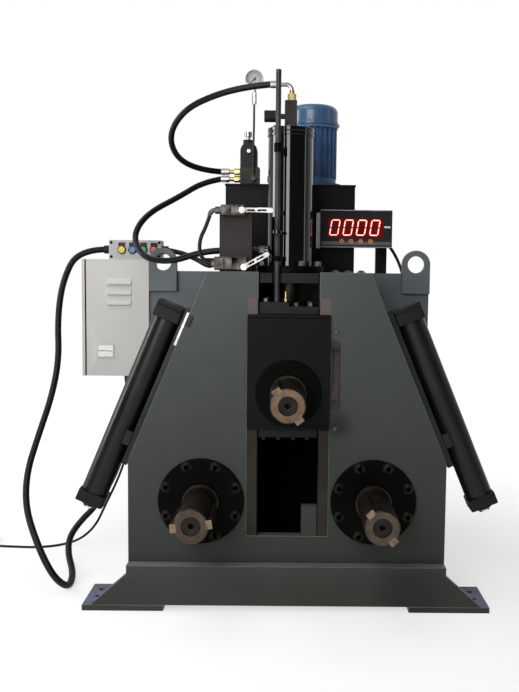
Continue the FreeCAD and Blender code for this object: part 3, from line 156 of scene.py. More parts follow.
def enamel(name, **values):
    # sprayed machine enamel: even colour, faint orange peel; darker low down and in patches from grime, oil
    # and painted shade; paler facing up from dust and painted light
    material, tree, shader, place = startMaterial(name, values)
    tones = (values["color"], values["shade"])
    tone = mottled(tree, place, tones, noiseScale(values["cloudMm"]), (0.35, 0.65), 3)[1]
    # darker towards the floor: grime, with painted shade
    if "soil" in values:
        share = spread(tree, axisOf(tree, place, "Z"), values["soilTop"], mm(100), toHigh=values["soilShare"])
        tone = blend(tree, share, tone, values["soil"])
    for centre, radius in values.get("smudges", ()):
        # dark patches: oil that has crept out and darkened the paint, and painted shade beside and under the
        # parts that stand out
        share = spread(tree, distanceTo(tree, place, centre), mm(radius), mm(radius * 0.3), toHigh=0.8)
        tone = blend(tree, share, tone, values["oil"])
    # paler on upward faces: settled dust, and painted light from above
    if "dust" in values:
        normal = add(tree, "ShaderNodeNewGeometry")["Normal"]
        share = spread(tree, axisOf(tree, normal, "Z"), 0.55, 0.95, toHigh=values["dustShare"])
        tone = blend(tree, share, tone, values["dust"])
    sheen = spread(tree, noise(tree, place, 8), 0.3, 0.7, values["rough"] - 0.05, values["rough"] + 0.08)
    tree.links.new(sheen, shader.inputs["Roughness"])
    peel = noise(tree, place, noiseScale(values.get("peelMm", 5)))
    endMaterial(tree, shader, tone, peel, values["peel"], 0.15)
    shader.inputs["Coat Weight"].default_value = values.get("coat", 0)
    shader.inputs["Coat Roughness"].default_value = 0.07
    return material


def steel(name, **values):
    # bare or oxide-coated steel: metal with a cloudy film and fine machining lines
    material, tree, shader, place = startMaterial(name, values, values.get("metal", 1))
    tones = (values["color"], values["film"])
    film, tone = mottled(tree, place, tones, noiseScale(values["filmMm"]), (0.35, 0.68), 5, 0.65)
    if "wiped" in values:
        # rubbed lighter above the slide
        low = values["wipedFrom"]
        share = spread(tree, axisOf(tree, place, "Z"), mm(low), mm(low + 25), toHigh=0.8)
        tone = blend(tree, share, tone, values["wiped"])
    wear = spread(tree, film, 0.3, 0.7, values["rough"] - 0.06, values["rough"] + 0.12)
    tree.links.new(wear, shader.inputs["Roughness"])
    stretched = add(tree, "ShaderNodeMapping", {"Vector": place, "Scale": values.get("lines", (1, 1, 1))})[0]
    marks = noise(tree, stretched, noiseScale(values["lineMm"]))
    endMaterial(tree, shader, tone, marks, values["depth"], 0.1)
    return material


def turned(name, **values):
    # faced steel end: rings about its own axis, under an uneven wax film
    material, tree, shader, place = startMaterial(name, values, values["metal"])
    tone = mottled(tree, place, (values["color"], values["film"]), 24, (0.35, 0.68), 5, 0.65)[1]
    # feed marks are far finer than this; drawn 3 mm apart so that they show
    phase = calc(tree, "MULTIPLY", distanceTo(tree, place, values["centre"]), 2 * math.pi / mm(3))
    rings = calc(tree, "SINE", phase)
    tone = blend(tree, spread(tree, rings, -1, 1, toHigh=0.22), tone, values["film"])
    endMaterial(tree, shader, tone, rings, 0.15, 0.1)
    return material


def plastic(name, **values):
    # moulded plastic, rubber or textured powder coat: one colour, fine grain, slight dust
    material, tree, shader, place = startMaterial(name, values)
    tones = (values["color"], values["dust"])
    tone = mottled(tree, place, tones, noiseScale(values.get("dustMm", 45)), (0.4, 0.75), 4)[1]
    grain = noise(tree, place, noiseScale(values["grainMm"]))
    endMaterial(tree, shader, tone, grain, values["grain"], 0.12)
    if "glow" in values:
        # lit from behind, unevenly
        tree.links.new(tone, shader.inputs["Emission Color"])
        shader.inputs["Emission Strength"].default_value = values["glow"]
    return material


# two-pack enamel sprayed on steel plate, anthracite with a green cast: a dull broad sheen over faint
# orange peel, drawn coarse at 5 mm; darker towards the floor and in patches at the slide and flanges: grime,
# oil and painted shade
frameEnamel = enamel(
    "frameEnamelAnthracite", color="#474d4c", shade="#414645", rough=0.46, spec=0.2, cloudMm=420,
    peel=0.22, soil="#292b26", soilTop=1.15, soilShare=0.85, dust="#7d8280", dustShare=0.25, oil="#1d1f1b",
    smudges=(((168, -72, 632), 60), ((150, -72, 900), 30), ((300, -72, 236), 90), ((-300, -72, 240), 70)))
# the same enamel on the base, darker, with more grime and painted shade low down and more dust and painted
# light on its upward faces
plinthEnamel = enamel(
    "plinthEnamelAnthracite", color="#3f433e", shade="#373a35", rough=0.5, spec=0.25, cloudMm=260,
    peel=0.25, soil="#272923", soilTop=0.2, soilShare=0.5, dust="#6c6f74", dustShare=0.8, oil="#1d1f1b",
    smudges=(((420, -115, 60), 160),))
# the same enamel on top of the feet, painted a paler bluish grey: a painted reflection of the light on their
# tops
footSheenEnamel = enamel(
    "footTopPaintedSheen", color="#5d6078", shade="#4d4f62", rough=0.55, spec=0.3, cloudMm=60, peel=0.3)
# the same enamel on side and rear faces, in a paler copy that paints light on them, and less soiled and
# shaded low down
rearLitEnamel = enamel(
    "frameEnamelRearLit", color="#5c6264", shade="#51575a", rough=0.48, spec=0.3, cloudMm=300, peel=0.25,
    soil="#353634", soilTop=0.95, soilShare=0.7, dust="#767b7a", dustShare=0.6)
# paler enamel on the plates' rounded edges: worn thin where the primer draws a fine pale line, and a painted
# highlight where the edges catch the light
edgeWornAndLit = enamel(
    "edgeWearAndHighlightEnamel", color="#676e6b", shade="#525956", rough=0.45, spec=0.3, cloudMm=35, peelMm=4,
    peel=0.2)
# near-black matt paint in the window, on the gear guard and the guide cheeks: painted shade of the dark
# inside, swallowing all light
windowShadeBlack = enamel(
    "windowPaintedShadeBlack", color="#040404", shade="#020202", rough=0.8, spec=0.02, cloudMm=120, peel=0.2)
# gloss black alkyd enamel on the main cylinder under a clear film of oil, which draws long sharp highlights
glossBlack = enamel(
    "glossBlackEnamel", color="#030405", shade="#060608", rough=0.3, spec=0.0, cloudMm=120, peelMm=9,
    peel=0.04, coat=1.0)
# satin black enamel sprayed on the oil tank, paler on its lid: dust, and painted light from above
tankBlack = enamel(
    "tankBlackEnamel", color="#0a0a0d", shade="#0f0f11", rough=0.45, spec=0.08, cloudMm=160, peel=0.2,
    dust="#2a2a30", dustShare=0.6)
# satin black enamel brushed thickly on the side actuators: a wavy, softly shining film
actuatorBlack = enamel(
    "actuatorBlackEnamel", color="#09090b", shade="#100f0f", rough=0.32, spec=0.25, cloudMm=80, peelMm=9,
    peel=0.35)
# the same enamel thinner on their sawn square heads, duller and browner
actuatorHead = enamel(
    "actuatorHeadEnamel", color="#141210", shade="#1b1815", rough=0.5, spec=0.15, cloudMm=50, peel=0.35)
# black oxide on the turned covers, oiled: near black with hardly a sheen
blackOxide = steel(
    "blackOxideSteel", color="#040404", film="#090807", rough=0.4, metal=0, spec=0.03, filmMm=70, lineMm=3,
    depth=0.12)
# black oxide on socket screws, brushed browner by handling
oxideScrew = steel(
    "blackOxideScrew", color="#0f0e0d", film="#1c1916", rough=0.4, metal=0.3, spec=0.2, filmMm=9, lineMm=2,
    depth=0.15)
# black oxide on the ground face plate of the slide, worn a little greyer, with upright grinding marks
slideBlack = steel(
    "slideBlackOxide", color="#101010", film="#161615", rough=0.45, metal=0, spec=0.06, filmMm=120,
    lines=(1, 1, 0.1), lineMm=3, depth=0.15)
# the same oxide on the milled end plates and the cylinder plate, greyer, with marks along their length
slideGrey = steel(
    "slidePlateGreyOxide", color="#171818", film="#121211", rough=0.45, metal=0.1, spec=0.15, filmMm=60,
    lines=(0.2, 1, 1), lineMm=3, depth=0.2)
# ground shaft steel under a brown preserving wax; fine marks run round the shaft
shaftSteel = steel(
    "shaftSteelWaxed", color="#2e261f", film="#100d0a", rough=0.34, metal=0.6, spec=0.35, filmMm=48,
    lines=(1, 12, 1), lineMm=9, depth=0.3)
# cold-drawn key steel, scraped bright on its ends under thin wax
keySteel = steel(
    "keySteelBright", color="#85745f", film="#4f4336", rough=0.36, metal=0.6, filmMm=14, lines=(1, 0.1, 1),
    lineMm=2, depth=0.2)
# faced shaft ends, each with its tool marks round its own centre, tan under uneven wax
shaftFaces = {
    "top": turned(
        "shaftFaceTop", color="#7a624a", film="#473526", rough=0.4, metal=0.3, spec=0.4,
        centre=(0, -380, 743.5)),
    "left": turned(
        "shaftFaceLeft", color="#4d3f33", film="#2b221a", rough=0.42, metal=0.3, spec=0.4,
        centre=(-292, -380, 371)),
    "right": turned(
        "shaftFaceRight", color="#574a3e", film="#302720", rough=0.42, metal=0.3, spec=0.4,
        centre=(292, -380, 371))}
# brown preserving grease in the recess of the shaft ends: dark, lumpy and damp
recessGrease = steel(
    "recessGrease", color="#1c130d", film="#090706", rough=0.5, metal=0, spec=0.2, filmMm=16, lineMm=3,
    depth=0.4)
# milled guide rails under a brown oil film, rubbed lighter above the slide
railSteel = steel(
    "railSteelOiled", color="#26231e", film="#35302a", rough=0.5, metal=0.1, spec=0.12, filmMm=60,
    lines=(1, 1, 0.06), lineMm=3, depth=0.3, wiped="#645a5a", wipedFrom=960)
# milled gib strip gone rusty where oil no longer reaches it: brown and blotchy
gibSteel = steel(
    "gibStripRusty", color="#43362f", film="#201f1b", rough=0.55, metal=0.1, spec=0.2, filmMm=24,
    lines=(1, 1, 0.35), lineMm=3, depth=0.4)
# zinc plating with a yellow passivate on the hose nuts: pale gold and shiny
zincYellow = steel(
    "zincYellowPassivate", color="#b3a878", film="#8c7c4c", rough=0.28, filmMm=14, lineMm=2, depth=0.1)
# clear zinc plating on ferrules, levers and the gauge's case: bright bluish white
zincClear = steel(
    "zincClearPlated", color="#b9b8b4", film="#84827d", rough=0.3, filmMm=14, lineMm=2, depth=0.1)
# the same plating gone dull and oily on screws, and darker on the fitting behind the switches
dullZinc = steel(
    "zincDulled", color="#605e5a", film="#33312e", rough=0.42, metal=0.8, filmMm=9, lineMm=2, depth=0.15)
# hard chrome, ground and polished, on the rods and the latch: a near mirror
chrome = steel("hardChrome", color="#cfcfcf", film="#c2c2c4", rough=0.12, filmMm=60, lineMm=2, depth=0.03)
# drawn bar, oiled grey, with draw marks along it
drawnBar = steel(
    "drawnBarOiled", color="#3f3d40", film="#262427", rough=0.4, metal=0.5, spec=0.3, filmMm=40,
    lines=(1, 1, 0.04), lineMm=2, depth=0.25)
# rough grey casting skin on the gears' webs and rims
castSteel = steel(
    "castSteelGrey", color="#4b4a49", film="#3a3836", rough=0.5, metal=0.6, filmMm=40, lineMm=3, depth=0.4)
# hobbed pinion steel, oiled: brighter, with marks along the teeth
gearSteel = steel(
    "gearSteelOiled", color="#77716a", film="#5a544d", rough=0.34, metal=0.9, filmMm=50, lines=(1, 8, 1),
    lineMm=4, depth=0.2)
# phosphated steel of the valve blocks: dark grey-brown and matt
valvePhosphate = steel(
    "valveBlockPhosphate", color="#37322e", film="#272320", rough=0.55, metal=0, spec=0.2, filmMm=25,
    lineMm=2, depth=0.3)
# zinc die-casting of the limit switches: pitted grey skin, blackened by grime
switchCasting = steel(
    "switchCastingGrimy", color="#5c5750", film="#171513", rough=0.4, metal=0.4, spec=0.4, filmMm=11,
    lineMm=5, depth=0.6)
# blue stoving enamel: glossy on the pressed cowl, duller on the motor's ribbed aluminium
cowlBlue = enamel(
    "motorCowlBlueEnamel", color="#416385", shade="#39597a", rough=0.3, spec=0.5, cloudMm=90, peelMm=4,
    peel=0.2, coat=0.2)
motorBlue = enamel(
    "motorBodyBlueEnamel", color="#4c6f9b", shade="#395678", rough=0.4, spec=0.4, cloudMm=40, peelMm=4,
    peel=0.35)
# light grey powder coat on the cabinet, with a fine sand texture that spreads the light
cabinetCoat = plastic(
    "cabinetPowderCoat", color="#c0beba", dust="#b2afab", rough=0.5, spec=0.4, grainMm=2.5, grain=0.35,
    dustMm=260)
# foamed rubber seal round the cabinet's opening, matt black
sealRubber = plastic(
    "doorSealRubber", color="#0e0e0f", dust="#18181a", rough=0.7, spec=0.1, grainMm=2, grain=0.4)
# grey-brown primer on the switch column, matt and a little grainy
columnPaint = enamel(
    "columnPrimer", color="#2f2a28", shade="#272321", rough=0.6, spec=0.2, cloudMm=110, peelMm=4, peel=0.3)
# nitrile rubber cover of the hydraulic hoses, black with a dull sheen; their faint blue cast is a painted
# reflection
hoseRubber = plastic(
    "hoseRubberCover", color="#07070c", dust="#101019", rough=0.34, spec=0.18, grainMm=1.2, grain=0.4)
# PVC sheath of the conduits and the supply lead, smoother and blacker than rubber
conduitBlack = plastic(
    "conduitSheath", color="#070708", dust="#0f0f11", rough=0.38, spec=0.2, grainMm=1.5, grain=0.3)
# moulded black polyamide of knob, glands and small leads, satin
blackPlastic = plastic(
    "blackPolyamide", color="#0d0d0e", dust="#151517", rough=0.5, spec=0.2, grainMm=1.0, grain=0.3)
# moulded ABS of the display case, dark grey and finely eroded
displayAbs = plastic(
    "displayCaseAbs", color="#1b191c", dust="#222023", rough=0.45, spec=0.12, grainMm=1.2, grain=0.3)
# grey printed foil behind the keys
displayBand = plastic(
    "displayFoilBand", color="#585557", dust="#4b484b", rough=0.45, spec=0.2, grainMm=1.2, grain=0.2)
# dark red acrylic window, lit faintly from behind by the digits
displayWindow = plastic(
    "displayRedAcrylic", color="#5e0504", dust="#420302", rough=0.2, spec=0.2, grainMm=4, grain=0.03,
    dustMm=30, glow=0.35)
# anodised aluminium trim of the display, pale and even
trimAluminium = steel(
    "displayTrimAluminium", color="#b2b0b3", film="#98959a", rough=0.4, metal=0.1, filmMm=30,
    lines=(1, 1, 0.1), lineMm=2, depth=0.15)
# white screen print on the display's face
printWhite = plastic(
    "displayPrintWhite", color="#d8d5d2", dust="#c6c3c0", rough=0.5, grainMm=1.0, grain=0.05)
# light-emitting digits: saturated red at the rim of each stroke and nearly white in its core
digitGlow = plastic(
    "digitGlowRed", color="#f2452c", dust="#e63a22", rough=0.4, grainMm=2, grain=0.02, dustMm=6, glow=1.0)
digitCore = plastic(
    "digitCoreBright", color="#ffe3d6", dust="#ffd0c0", rough=0.4, grainMm=2, grain=0.02, dustMm=6,
    glow=0.9)
# orange printed key foil
keyFoil = plastic("orangeKeyFoil", color="#c06a30", dust="#a3582c", rough=0.45, grainMm=1.0, grain=0.1)
# grey polycarbonate of the button station, satin
stationPlastic = plastic(
    "stationPolycarbonate", color="#a5a3a4", dust="#969495", rough=0.45, grainMm=1.5, grain=0.3)
# black anodised legend plates under the buttons, blank
legendBlack = plastic(
    "legendPlateBlack", color="#120f11", dust="#1c181a", rough=0.4, spec=0.2, grainMm=1.5, grain=0.2)
# grey thermoplastic of the switchgear in the cabinet
innerPlastic = plastic(
    "switchgearPlastic", color="#8c8e90", dust="#7d7f80", rough=0.5, grainMm=1.0, grain=0.2)
# moulded button caps, coloured through and a little shiny
capColors = {"yellow": ("#cdb720", "#b39c1e"), "blue": ("#155a98", "#134a7e"),
             "green": ("#1d7a40", "#1b6636"), "red": ("#b33a33", "#93302c")}
capPlastic = {}
for key, (color, dust) in capColors.items():
    capPlastic[key] = plastic(
        key + "ButtonCap", color=color, dust=dust, rough=0.35, grainMm=3.0, grain=0.1, dustMm=12)
# white enamel of the gauge's dial
dialWhite = plastic(
    "gaugeDialEnamel", color="#b2b1ad", dust="#a3a29e", rough=0.5, grainMm=2, grain=0.05, dustMm=20)
# black print of its marks, and its pointer
dialInk = plastic("gaugeDialInk", color="#1a1a1c", dust="#26262a", rough=0.5, grainMm=1, grain=0.05)
print("materials ready")

# place in millimetres, turn in degrees
view = {"place": (2, -2953, 1144), "turn": (85.16, -0.651, -0.493), "sensorHeight": 36, "lens": 44.97,
        "shift": -0.055, "clipEnd": 60}
camera = newObject("viewCamera", bpy.data.cameras.new("viewCamera"))
camera.location = mm(*view["place"])
camera.rotation_euler = [math.radians(angle) for angle in view["turn"]]
camera.data.sensor_fit = "VERTICAL"
camera.data.sensor_height = view["sensorHeight"]
camera.data.lens = view["lens"]
camera.data.shift_x = view["shift"]
camera.data.clip_end = view["clipEnd"]
scene.camera = camera

# the floor glows towards white from nearAt to farAt; the room turns from dim to white between the two depths
stageSettings = {"floorSize": 24.0, "floorColor": "#a8a8a8", "nearGlow": 0.62, "farGlow": 1.0, "nearAt": 1.0,
                 "farAt": 3.2, "worldFill": 0.22, "roomDim": 0.08, "dimDepth": -0.3, "whiteDepth": 0.9}


def directRays(tree):
    # 1 for camera rays and for what metal and glass mirror or let through
    rays = add(tree, "ShaderNodeLightPath")
    first = calc(tree, "MAXIMUM", rays["Is Camera Ray"], rays["Is Glossy Ray"])
    return calc(tree, "MAXIMUM", first, rays["Is Transmission Ray"])


def makeFloor(values):
    # matt pale ground that keeps the shadow and glows towards white further out
    size = values["floorSize"]
    mesh = bpy.data.meshes.new("floor")
    corners = [(-size, -size, 0), (size, -size, 0), (size, size, 0), (-size, size, 0)]
    mesh.from_pydata(corners, [], [(0, 1, 2, 3)])
    floor = newObject("floor", mesh)
    material = bpy.data.materials.new("paleFloor")
    tree = emptyTree(material)
    matt = add(tree, "ShaderNodeBsdfDiffuse", {"Color": hexColor(values["floorColor"])})[0]
    place = add(tree, "ShaderNodeTexCoord")["Object"]
    away = add(tree, "ShaderNodeVectorMath", {0: place}, operation="LENGTH")["Value"]
    bright = spread(tree, away, values["nearAt"], values["farAt"], values["nearGlow"], values["farGlow"])
    glow = add(tree, "ShaderNodeEmission", {"Color": (1, 1, 1, 1), "Strength": bright})[0]
    both = add(tree, "ShaderNodeAddShader", {0: matt, 1: glow})[0]
    choice = add(tree, "ShaderNodeMixShader", {0: directRays(tree), 1: matt, 2: both})[0]
    add(tree, "ShaderNodeOutputMaterial", {"Surface": choice})
    mesh.materials.append(material)


def makeRoom(values):
    # white behind the machine and dim behind the viewer, as metal mirrors it
    world = bpy.data.worlds.new("paleRoom")
    scene.world = world
    tree = emptyTree(world)
    rays = add(tree, "ShaderNodeLightPath")
    mirrored = calc(tree, "MAXIMUM", rays["Is Glossy Ray"], rays["Is Transmission Ray"])
    depth = axisOf(tree, add(tree, "ShaderNodeTexCoord")["Generated"], "Y")
    wall = spread(tree, depth, values["dimDepth"], values["whiteDepth"], values["roomDim"])
    fill, room, white = [add(tree, "ShaderNodeBackground", {"Color": (1, 1, 1, 1), "Strength": strength})[0]
                         for strength in (values["worldFill"], wall, 1.0)]
    lit = add(tree, "ShaderNodeMixShader", {0: mirrored, 1: fill, 2: room})[0]
    choice = add(tree, "ShaderNodeMixShader", {0: rays["Is Camera Ray"], 1: lit, 2: white})[0]
    add(tree, "ShaderNodeOutputWorld", {"Surface": choice})


def softLamp(name, values):
    # a large rectangular lamp that looks at its aim
    light = bpy.data.lights.new(name, "AREA")
    light.shape = "RECTANGLE"
    light.size, light.size_y, light.energy = *values["size"], values["power"]
    obj = newObject(name, light)
    obj.location = values["place"]
    aim = Vector(values["aim"]) - Vector(values["place"])
    obj.rotation_euler = aim.to_track_quat("-Z", "Y").to_euler()


# metres and watts
lamps = {
    "softLeft": {"place": (-1.2, -3.3, 2.0), "aim": (0, 0, 1.1), "size": (1.9, 2.4), "power": 104},
    "farLeft": {"place": (-3.3, 0.3, 1.9), "aim": (-0.5, 0.3, 1.0), "size": (0.8, 2.2), "power": 55},
    "softRight": {"place": (3.3, -0.5, 1.9), "aim": (0, 0, 1.0), "size": (0.3, 2.2), "power": 5},
    "softTop": {"place": (-1.2, -0.9, 4.2), "aim": (-0.1, 0, 0.9), "size": (2.4, 2.0), "power": 44}}
makeFloor(stageSettings)
makeRoom(stageSettings)
for name, values in lamps.items():
    softLamp(name, values)
scene.view_settings.view_transform = "Standard"
print("camera and light ready")


def evaluated(obj):
    # the object's final mesh with its modifiers applied
    bpy.context.view_layer.update()
    graph = bpy.context.evaluated_depsgraph_get()
    return bpy.data.meshes.new_from_object(obj.evaluated_get(graph))


def putPiece(name, mesh, body, nodes=()):
    # a finished piece on its body, standing in for the CAD nodes named
    obj = newObject(name, mesh)
    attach(obj, body)
    if nodes:
        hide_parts(*nodes)
    return obj


def bevelled(mesh, width, material=-1):
    # rounds the sharp edges of a closed mesh; the rounding can take a material of its own
    if width <= 0:
        return mesh
    holder = newObject("bevelHolder", mesh)
    bevel = holder.modifiers.new("edges", "BEVEL")
    bevel.width, bevel.segments, bevel.material = mm(width), 2, material
    bevel.limit_method, bevel.angle_limit = "ANGLE", math.radians(32)
    bevel.harden_normals = True
    bevel.use_clamp_overlap = False
    result = evaluated(holder)
    bpy.data.objects.remove(holder)
    return result


def islands(work):
    # each solid's faces; where two solids touch, an edge has more than two faces
    left, groups = set(work.faces), []
    while left:
        group, queue = [], [left.pop()]
        while queue:
            face = queue.pop()
            group.append(face)
            for edge in face.edges:
                for other in edge.link_faces if len(edge.link_faces) == 2 else ():
                    if other in left:
                        left.remove(other)
                        queue.append(other)
        groups.append(group)
    return groups


def groupBox(group):
    # lowest and highest corner of a group of faces, in millimetres
    points = [vert.co for face in group for vert in face.verts]
    low = Vector([min(p[i] for p in points) for i in range(3)]) * 1000
    return low, Vector([max(p[i] for p in points) for i in range(3)]) * 1000


def dress(name, node, materials, bevel, choose=None, paint=None, edge=None, smoothUnder=32):
    # a node's own shape with its edges rounded by bevel, perhaps in a material of their own.
    # choose(low, high) gives each solid its material's number, or None to leave it out;
    # paint(centre, normal, number) can change it for a face. Both in millimetres.
    work = bmesh.new()
    work.from_mesh(frame["nodes"][node].data)
    bmesh.ops.remove_doubles(work, verts=work.verts, dist=mm(0.02))
    bmesh.ops.dissolve_limit(work, angle_limit=math.radians(0.5), verts=work.verts, edges=work.edges)
    work.normal_update()
    drop = []
    for group in islands(work) if choose else [list(work.faces)]:
        number = choose(*groupBox(group)) if choose else 0
        for face in group:
            if number is None:
                drop.append(face)
                continue
            face.smooth = True
            centre = face.calc_center_median() * 1000
            face.material_index = paint(centre, face.normal, number) if paint else number
    bmesh.ops.delete(work, geom=drop, context="FACES")
    mesh = bpy.data.meshes.new(name)
    work.to_mesh(mesh)
    work.free()
    for material in materials + ([edge] if edge else []):
        mesh.materials.append(material)
    mesh.set_sharp_from_angle(angle=math.radians(smoothUnder))
    mesh = bevelled(mesh, bevel, len(materials) if edge else -1)
    return putPiece(name, mesh, bodyOf[node], [node])


def routeCurve(name, route):
    # one NURBS spline through the route's control points
    data = bpy.data.curves.new(name, "CURVE")
    data.dimensions = "3D"
    spline = data.splines.new("NURBS")
    spline.points.add(len(route) - 1)
    for point, place in zip(spline.points, route):
        point.co = (*mm(*place), 1)
    spline.order_u = 3
    spline.use_endpoint_u = True
    data.resolution_u = 12
    return data


def linePoints(data):
    # points along the spline, read from the curve while it has no thickness
    holder = newObject("lineHolder", data)
    mesh = evaluated(holder)
    points = [vert.co.copy() for vert in mesh.vertices]
    bpy.data.objects.remove(holder)
    bpy.data.meshes.remove(mesh)
    return points


def lineLength(points):
    # length of a line through these points, in metres
    return sum((b - a).length for a, b in zip(points, points[1:]))


def geometryTree(name, numbers):
    # an empty tree with a geometry, its named sizes, a direction and a material going in
    tree = bpy.data.node_groups.new(name, "GeometryNodeTree")
    face = tree.interface
    face.new_socket("Geometry", in_out="INPUT", socket_type="NodeSocketGeometry")
    for key in numbers:
        face.new_socket(key, in_out="INPUT", socket_type="NodeSocketFloat")
    face.new_socket("Direction", in_out="INPUT", socket_type="NodeSocketVector")
    face.new_socket("Material", in_out="INPUT", socket_type="NodeSocketMaterial")
    face.new_socket("Geometry", in_out="OUTPUT", socket_type="NodeSocketGeometry")
    return tree, add(tree, "NodeGroupInput")


def endTree(tree, given, geometry):
    # instances made real, in their material
    real = add(tree, "GeometryNodeRealizeInstances", {"Geometry": geometry})[0]
    finish = add(tree, "GeometryNodeSetMaterial", {"Geometry": real, "Material": given["Material"]})[0]
    add(tree, "NodeGroupOutput", {"Geometry": finish})
    return tree


def conduitTree():
    # ribbed sheath swept along a curve: each rib is four rings long
    tree, given = geometryTree("ribbedConduit", ("Radius", "Rib Pitch", "Rib Depth"))
    quarter = calc(tree, "MULTIPLY", given["Rib Pitch"], 0.25)
    rings = add(tree, "GeometryNodeResampleCurve", {"Curve": given["Geometry"], "Length": quarter},
                mode="LENGTH")[0]
    index = add(tree, "GeometryNodeInputIndex")[0]
    phase = calc(tree, "MULTIPLY", index, math.pi / 2)
    wave = calc(tree, "SINE", phase)
    dip = calc(tree, "SUBTRACT", wave, 1.0)
    depth = calc(tree, "MULTIPLY", given["Rib Depth"], 0.5)
    radius = calc(tree, "MULTIPLY_ADD", dip, depth, given["Radius"])
    section = add(tree, "GeometryNodeCurvePrimitiveCircle", {"Resolution": 14, "Radius": 1.0})[0]
    swept = add(tree, "GeometryNodeCurveToMesh", {"Curve": rings, "Profile Curve": section, "Scale": radius,
                                                  "Fill Caps": True})[0]
    return endTree(tree, given, add(tree, "GeometryNodeSetShadeSmooth", {"Geometry": swept})[0])


def grown(name, data, tree, inputs):
    # runs a tree on the object with these inputs and returns the plain mesh
    holder = newObject(name + "Source", data)
    maker = holder.modifiers.new("maker", "NODES")
    maker.node_group = tree
    for item in tree.interface.items_tree:
        if item.in_out == "INPUT" and item.name in inputs:
            maker[item.identifier] = inputs[item.name]
    mesh = evaluated(holder)
    mesh.name = name
    bpy.data.objects.remove(holder)
    return mesh


ribbed = conduitTree()


def layCord(name, values, material, *nodes):
    # a hose or cable along its route, or a ribbed conduit; its piece and the points of its middle line
    data = routeCurve(name, values["route"])
    points = linePoints(data)
    if "ribPitch" in values:
        data = grown(name, data, ribbed, {"Radius": mm(values["radius"]), "Rib Pitch": mm(values["ribPitch"]),
                                          "Rib Depth": mm(values["ribDepth"]), "Material": material})
    else:
        data.bevel_depth, data.bevel_resolution, data.use_fill_caps = mm(values["radius"]), 5, True
        data.materials.append(material)
    print(name, "length", round(lineLength(points), 4))
    return putPiece(name, data, "frame", nodes), points


# routes in millimetres; their first points are where the cords leave their fittings
hoseUpperCord = {"radius": 11, "route": [
    (-72, 70, 1785), (-150, 78, 1779), (-268, 110, 1755), (-378, 165, 1714), (-441, 225, 1638),
    (-424, 287, 1562), (-342, 346, 1525), (-263, 376, 1523)]}
hoseLowerCord = {"radius": 11, "route": [
    (-263, 376, 1495.5), (-331, 366, 1482), (-417, 330, 1423), (-530, 275, 1355), (-572, 215, 1270),
    (-524, 150, 1190), (-420, 110, 1176), (-311, 84, 1212), (-222, 73, 1220), (-140, 70, 1220)]}
stationCord = {"radius": 12.5, "ribPitch": 5.0, "ribDepth": 0.9, "route": [
    (-722, 442, 1226), (-822, 430, 1222), (-873, 392, 1105), (-882, 345, 960), (-866, 300, 810),
    (-884, 258, 672), (-925, 218, 530), (-958, 180, 400), (-946, 122, 285), (-887, 53, 178),
    (-831, 10, 94), (-800, 26, 44), (-783, 75, 12.5), (-786, 140, 12.5), (-802, 215, 24), (-833, 275, 62),
    (-842, 320, 112), (-812, 363, 162), (-755, 402, 218), (-702, 440, 305), (-662, 473, 415),
    (-643, 493, 545), (-642, 495, 705)]}
topCord = {"radius": 10, "ribPitch": 5.0, "ribDepth": 0.9, "route": [
    (-473, 442, 1226), (-418, 440, 1216), (-360, 406, 1192), (-322, 345, 1173), (-300, 270, 1167),
    (-285, 190, 1168), (-277, 115, 1176), (-276, 34, 1180)]}
displayCord = {"radius": 6, "route": [
    (300, 339, 1318), (301, 372, 1320), (312, 414, 1319), (345, 452, 1300), (385, 470, 1262),
    (420, 472, 1212), (444, 464, 1152), (455, 452, 1090), (456, 444, 1030), (455, 442, 974)]}
switchCord = {"radius": 6.5, "route": [
    (-268, -40, 1331), (-280, -40, 1295), (-300, -40, 1255), (-303, -40, 1214), (-291, -40, 1183),
    (-262, -40, 1170)]}
supplyCord = {"radius": 5, "route": [
    (-660, 555, 705), (-659, 556, 600), (-656, 559, 490), (-666, 566, 380), (-706, 579, 275),
    (-758, 597, 172), (-801, 602, 78), (-866, 592, 20), (-945, 562, 5), (-1030, 534, 5), (-1137, 542, 5),
    (-1241, 555, 5)]}
# the rest of the supply lead, put away on the floor; it crosses to the next lay in the last part of a turn
coil = {"centre": (-1278, 615), "middleRadius": 55, "turns": 5.25, "perTurn": 16, "crossing": 0.3,
        "tail": [(-1338, 640, 25), (-1338, 655, 25)]}


def coilPoints(values, step):
    # turns that lie beside and on each other, two wide and three high, one cable radius from lay to middle
    cx, cy = values["centre"]
    inner, outer = values["middleRadius"] - step, values["middleRadius"] + step
    stack = [(outer, step), (inner, step), (inner, 3 * step), (outer, 3 * step), (outer, 5 * step)]
    count = int(values["turns"] * values["perTurn"])
    points = []
    for index in range(count + 1):
        turn = index / values["perTurn"]
        layer = min(int(turn), len(stack) - 1)
        following = stack[min(layer + 1, len(stack) - 1)]
        share = max(0.0, (turn - layer - 1 + values["crossing"]) / values["crossing"])
        radius = stack[layer][0] + (following[0] - stack[layer][0]) * share
        height = stack[layer][1] + (following[1] - stack[layer][1]) * share
        angle = -math.pi / 2 - 2 * math.pi * turn
        points.append((cx + radius * math.cos(angle), cy + radius * math.sin(angle), height))
    return points


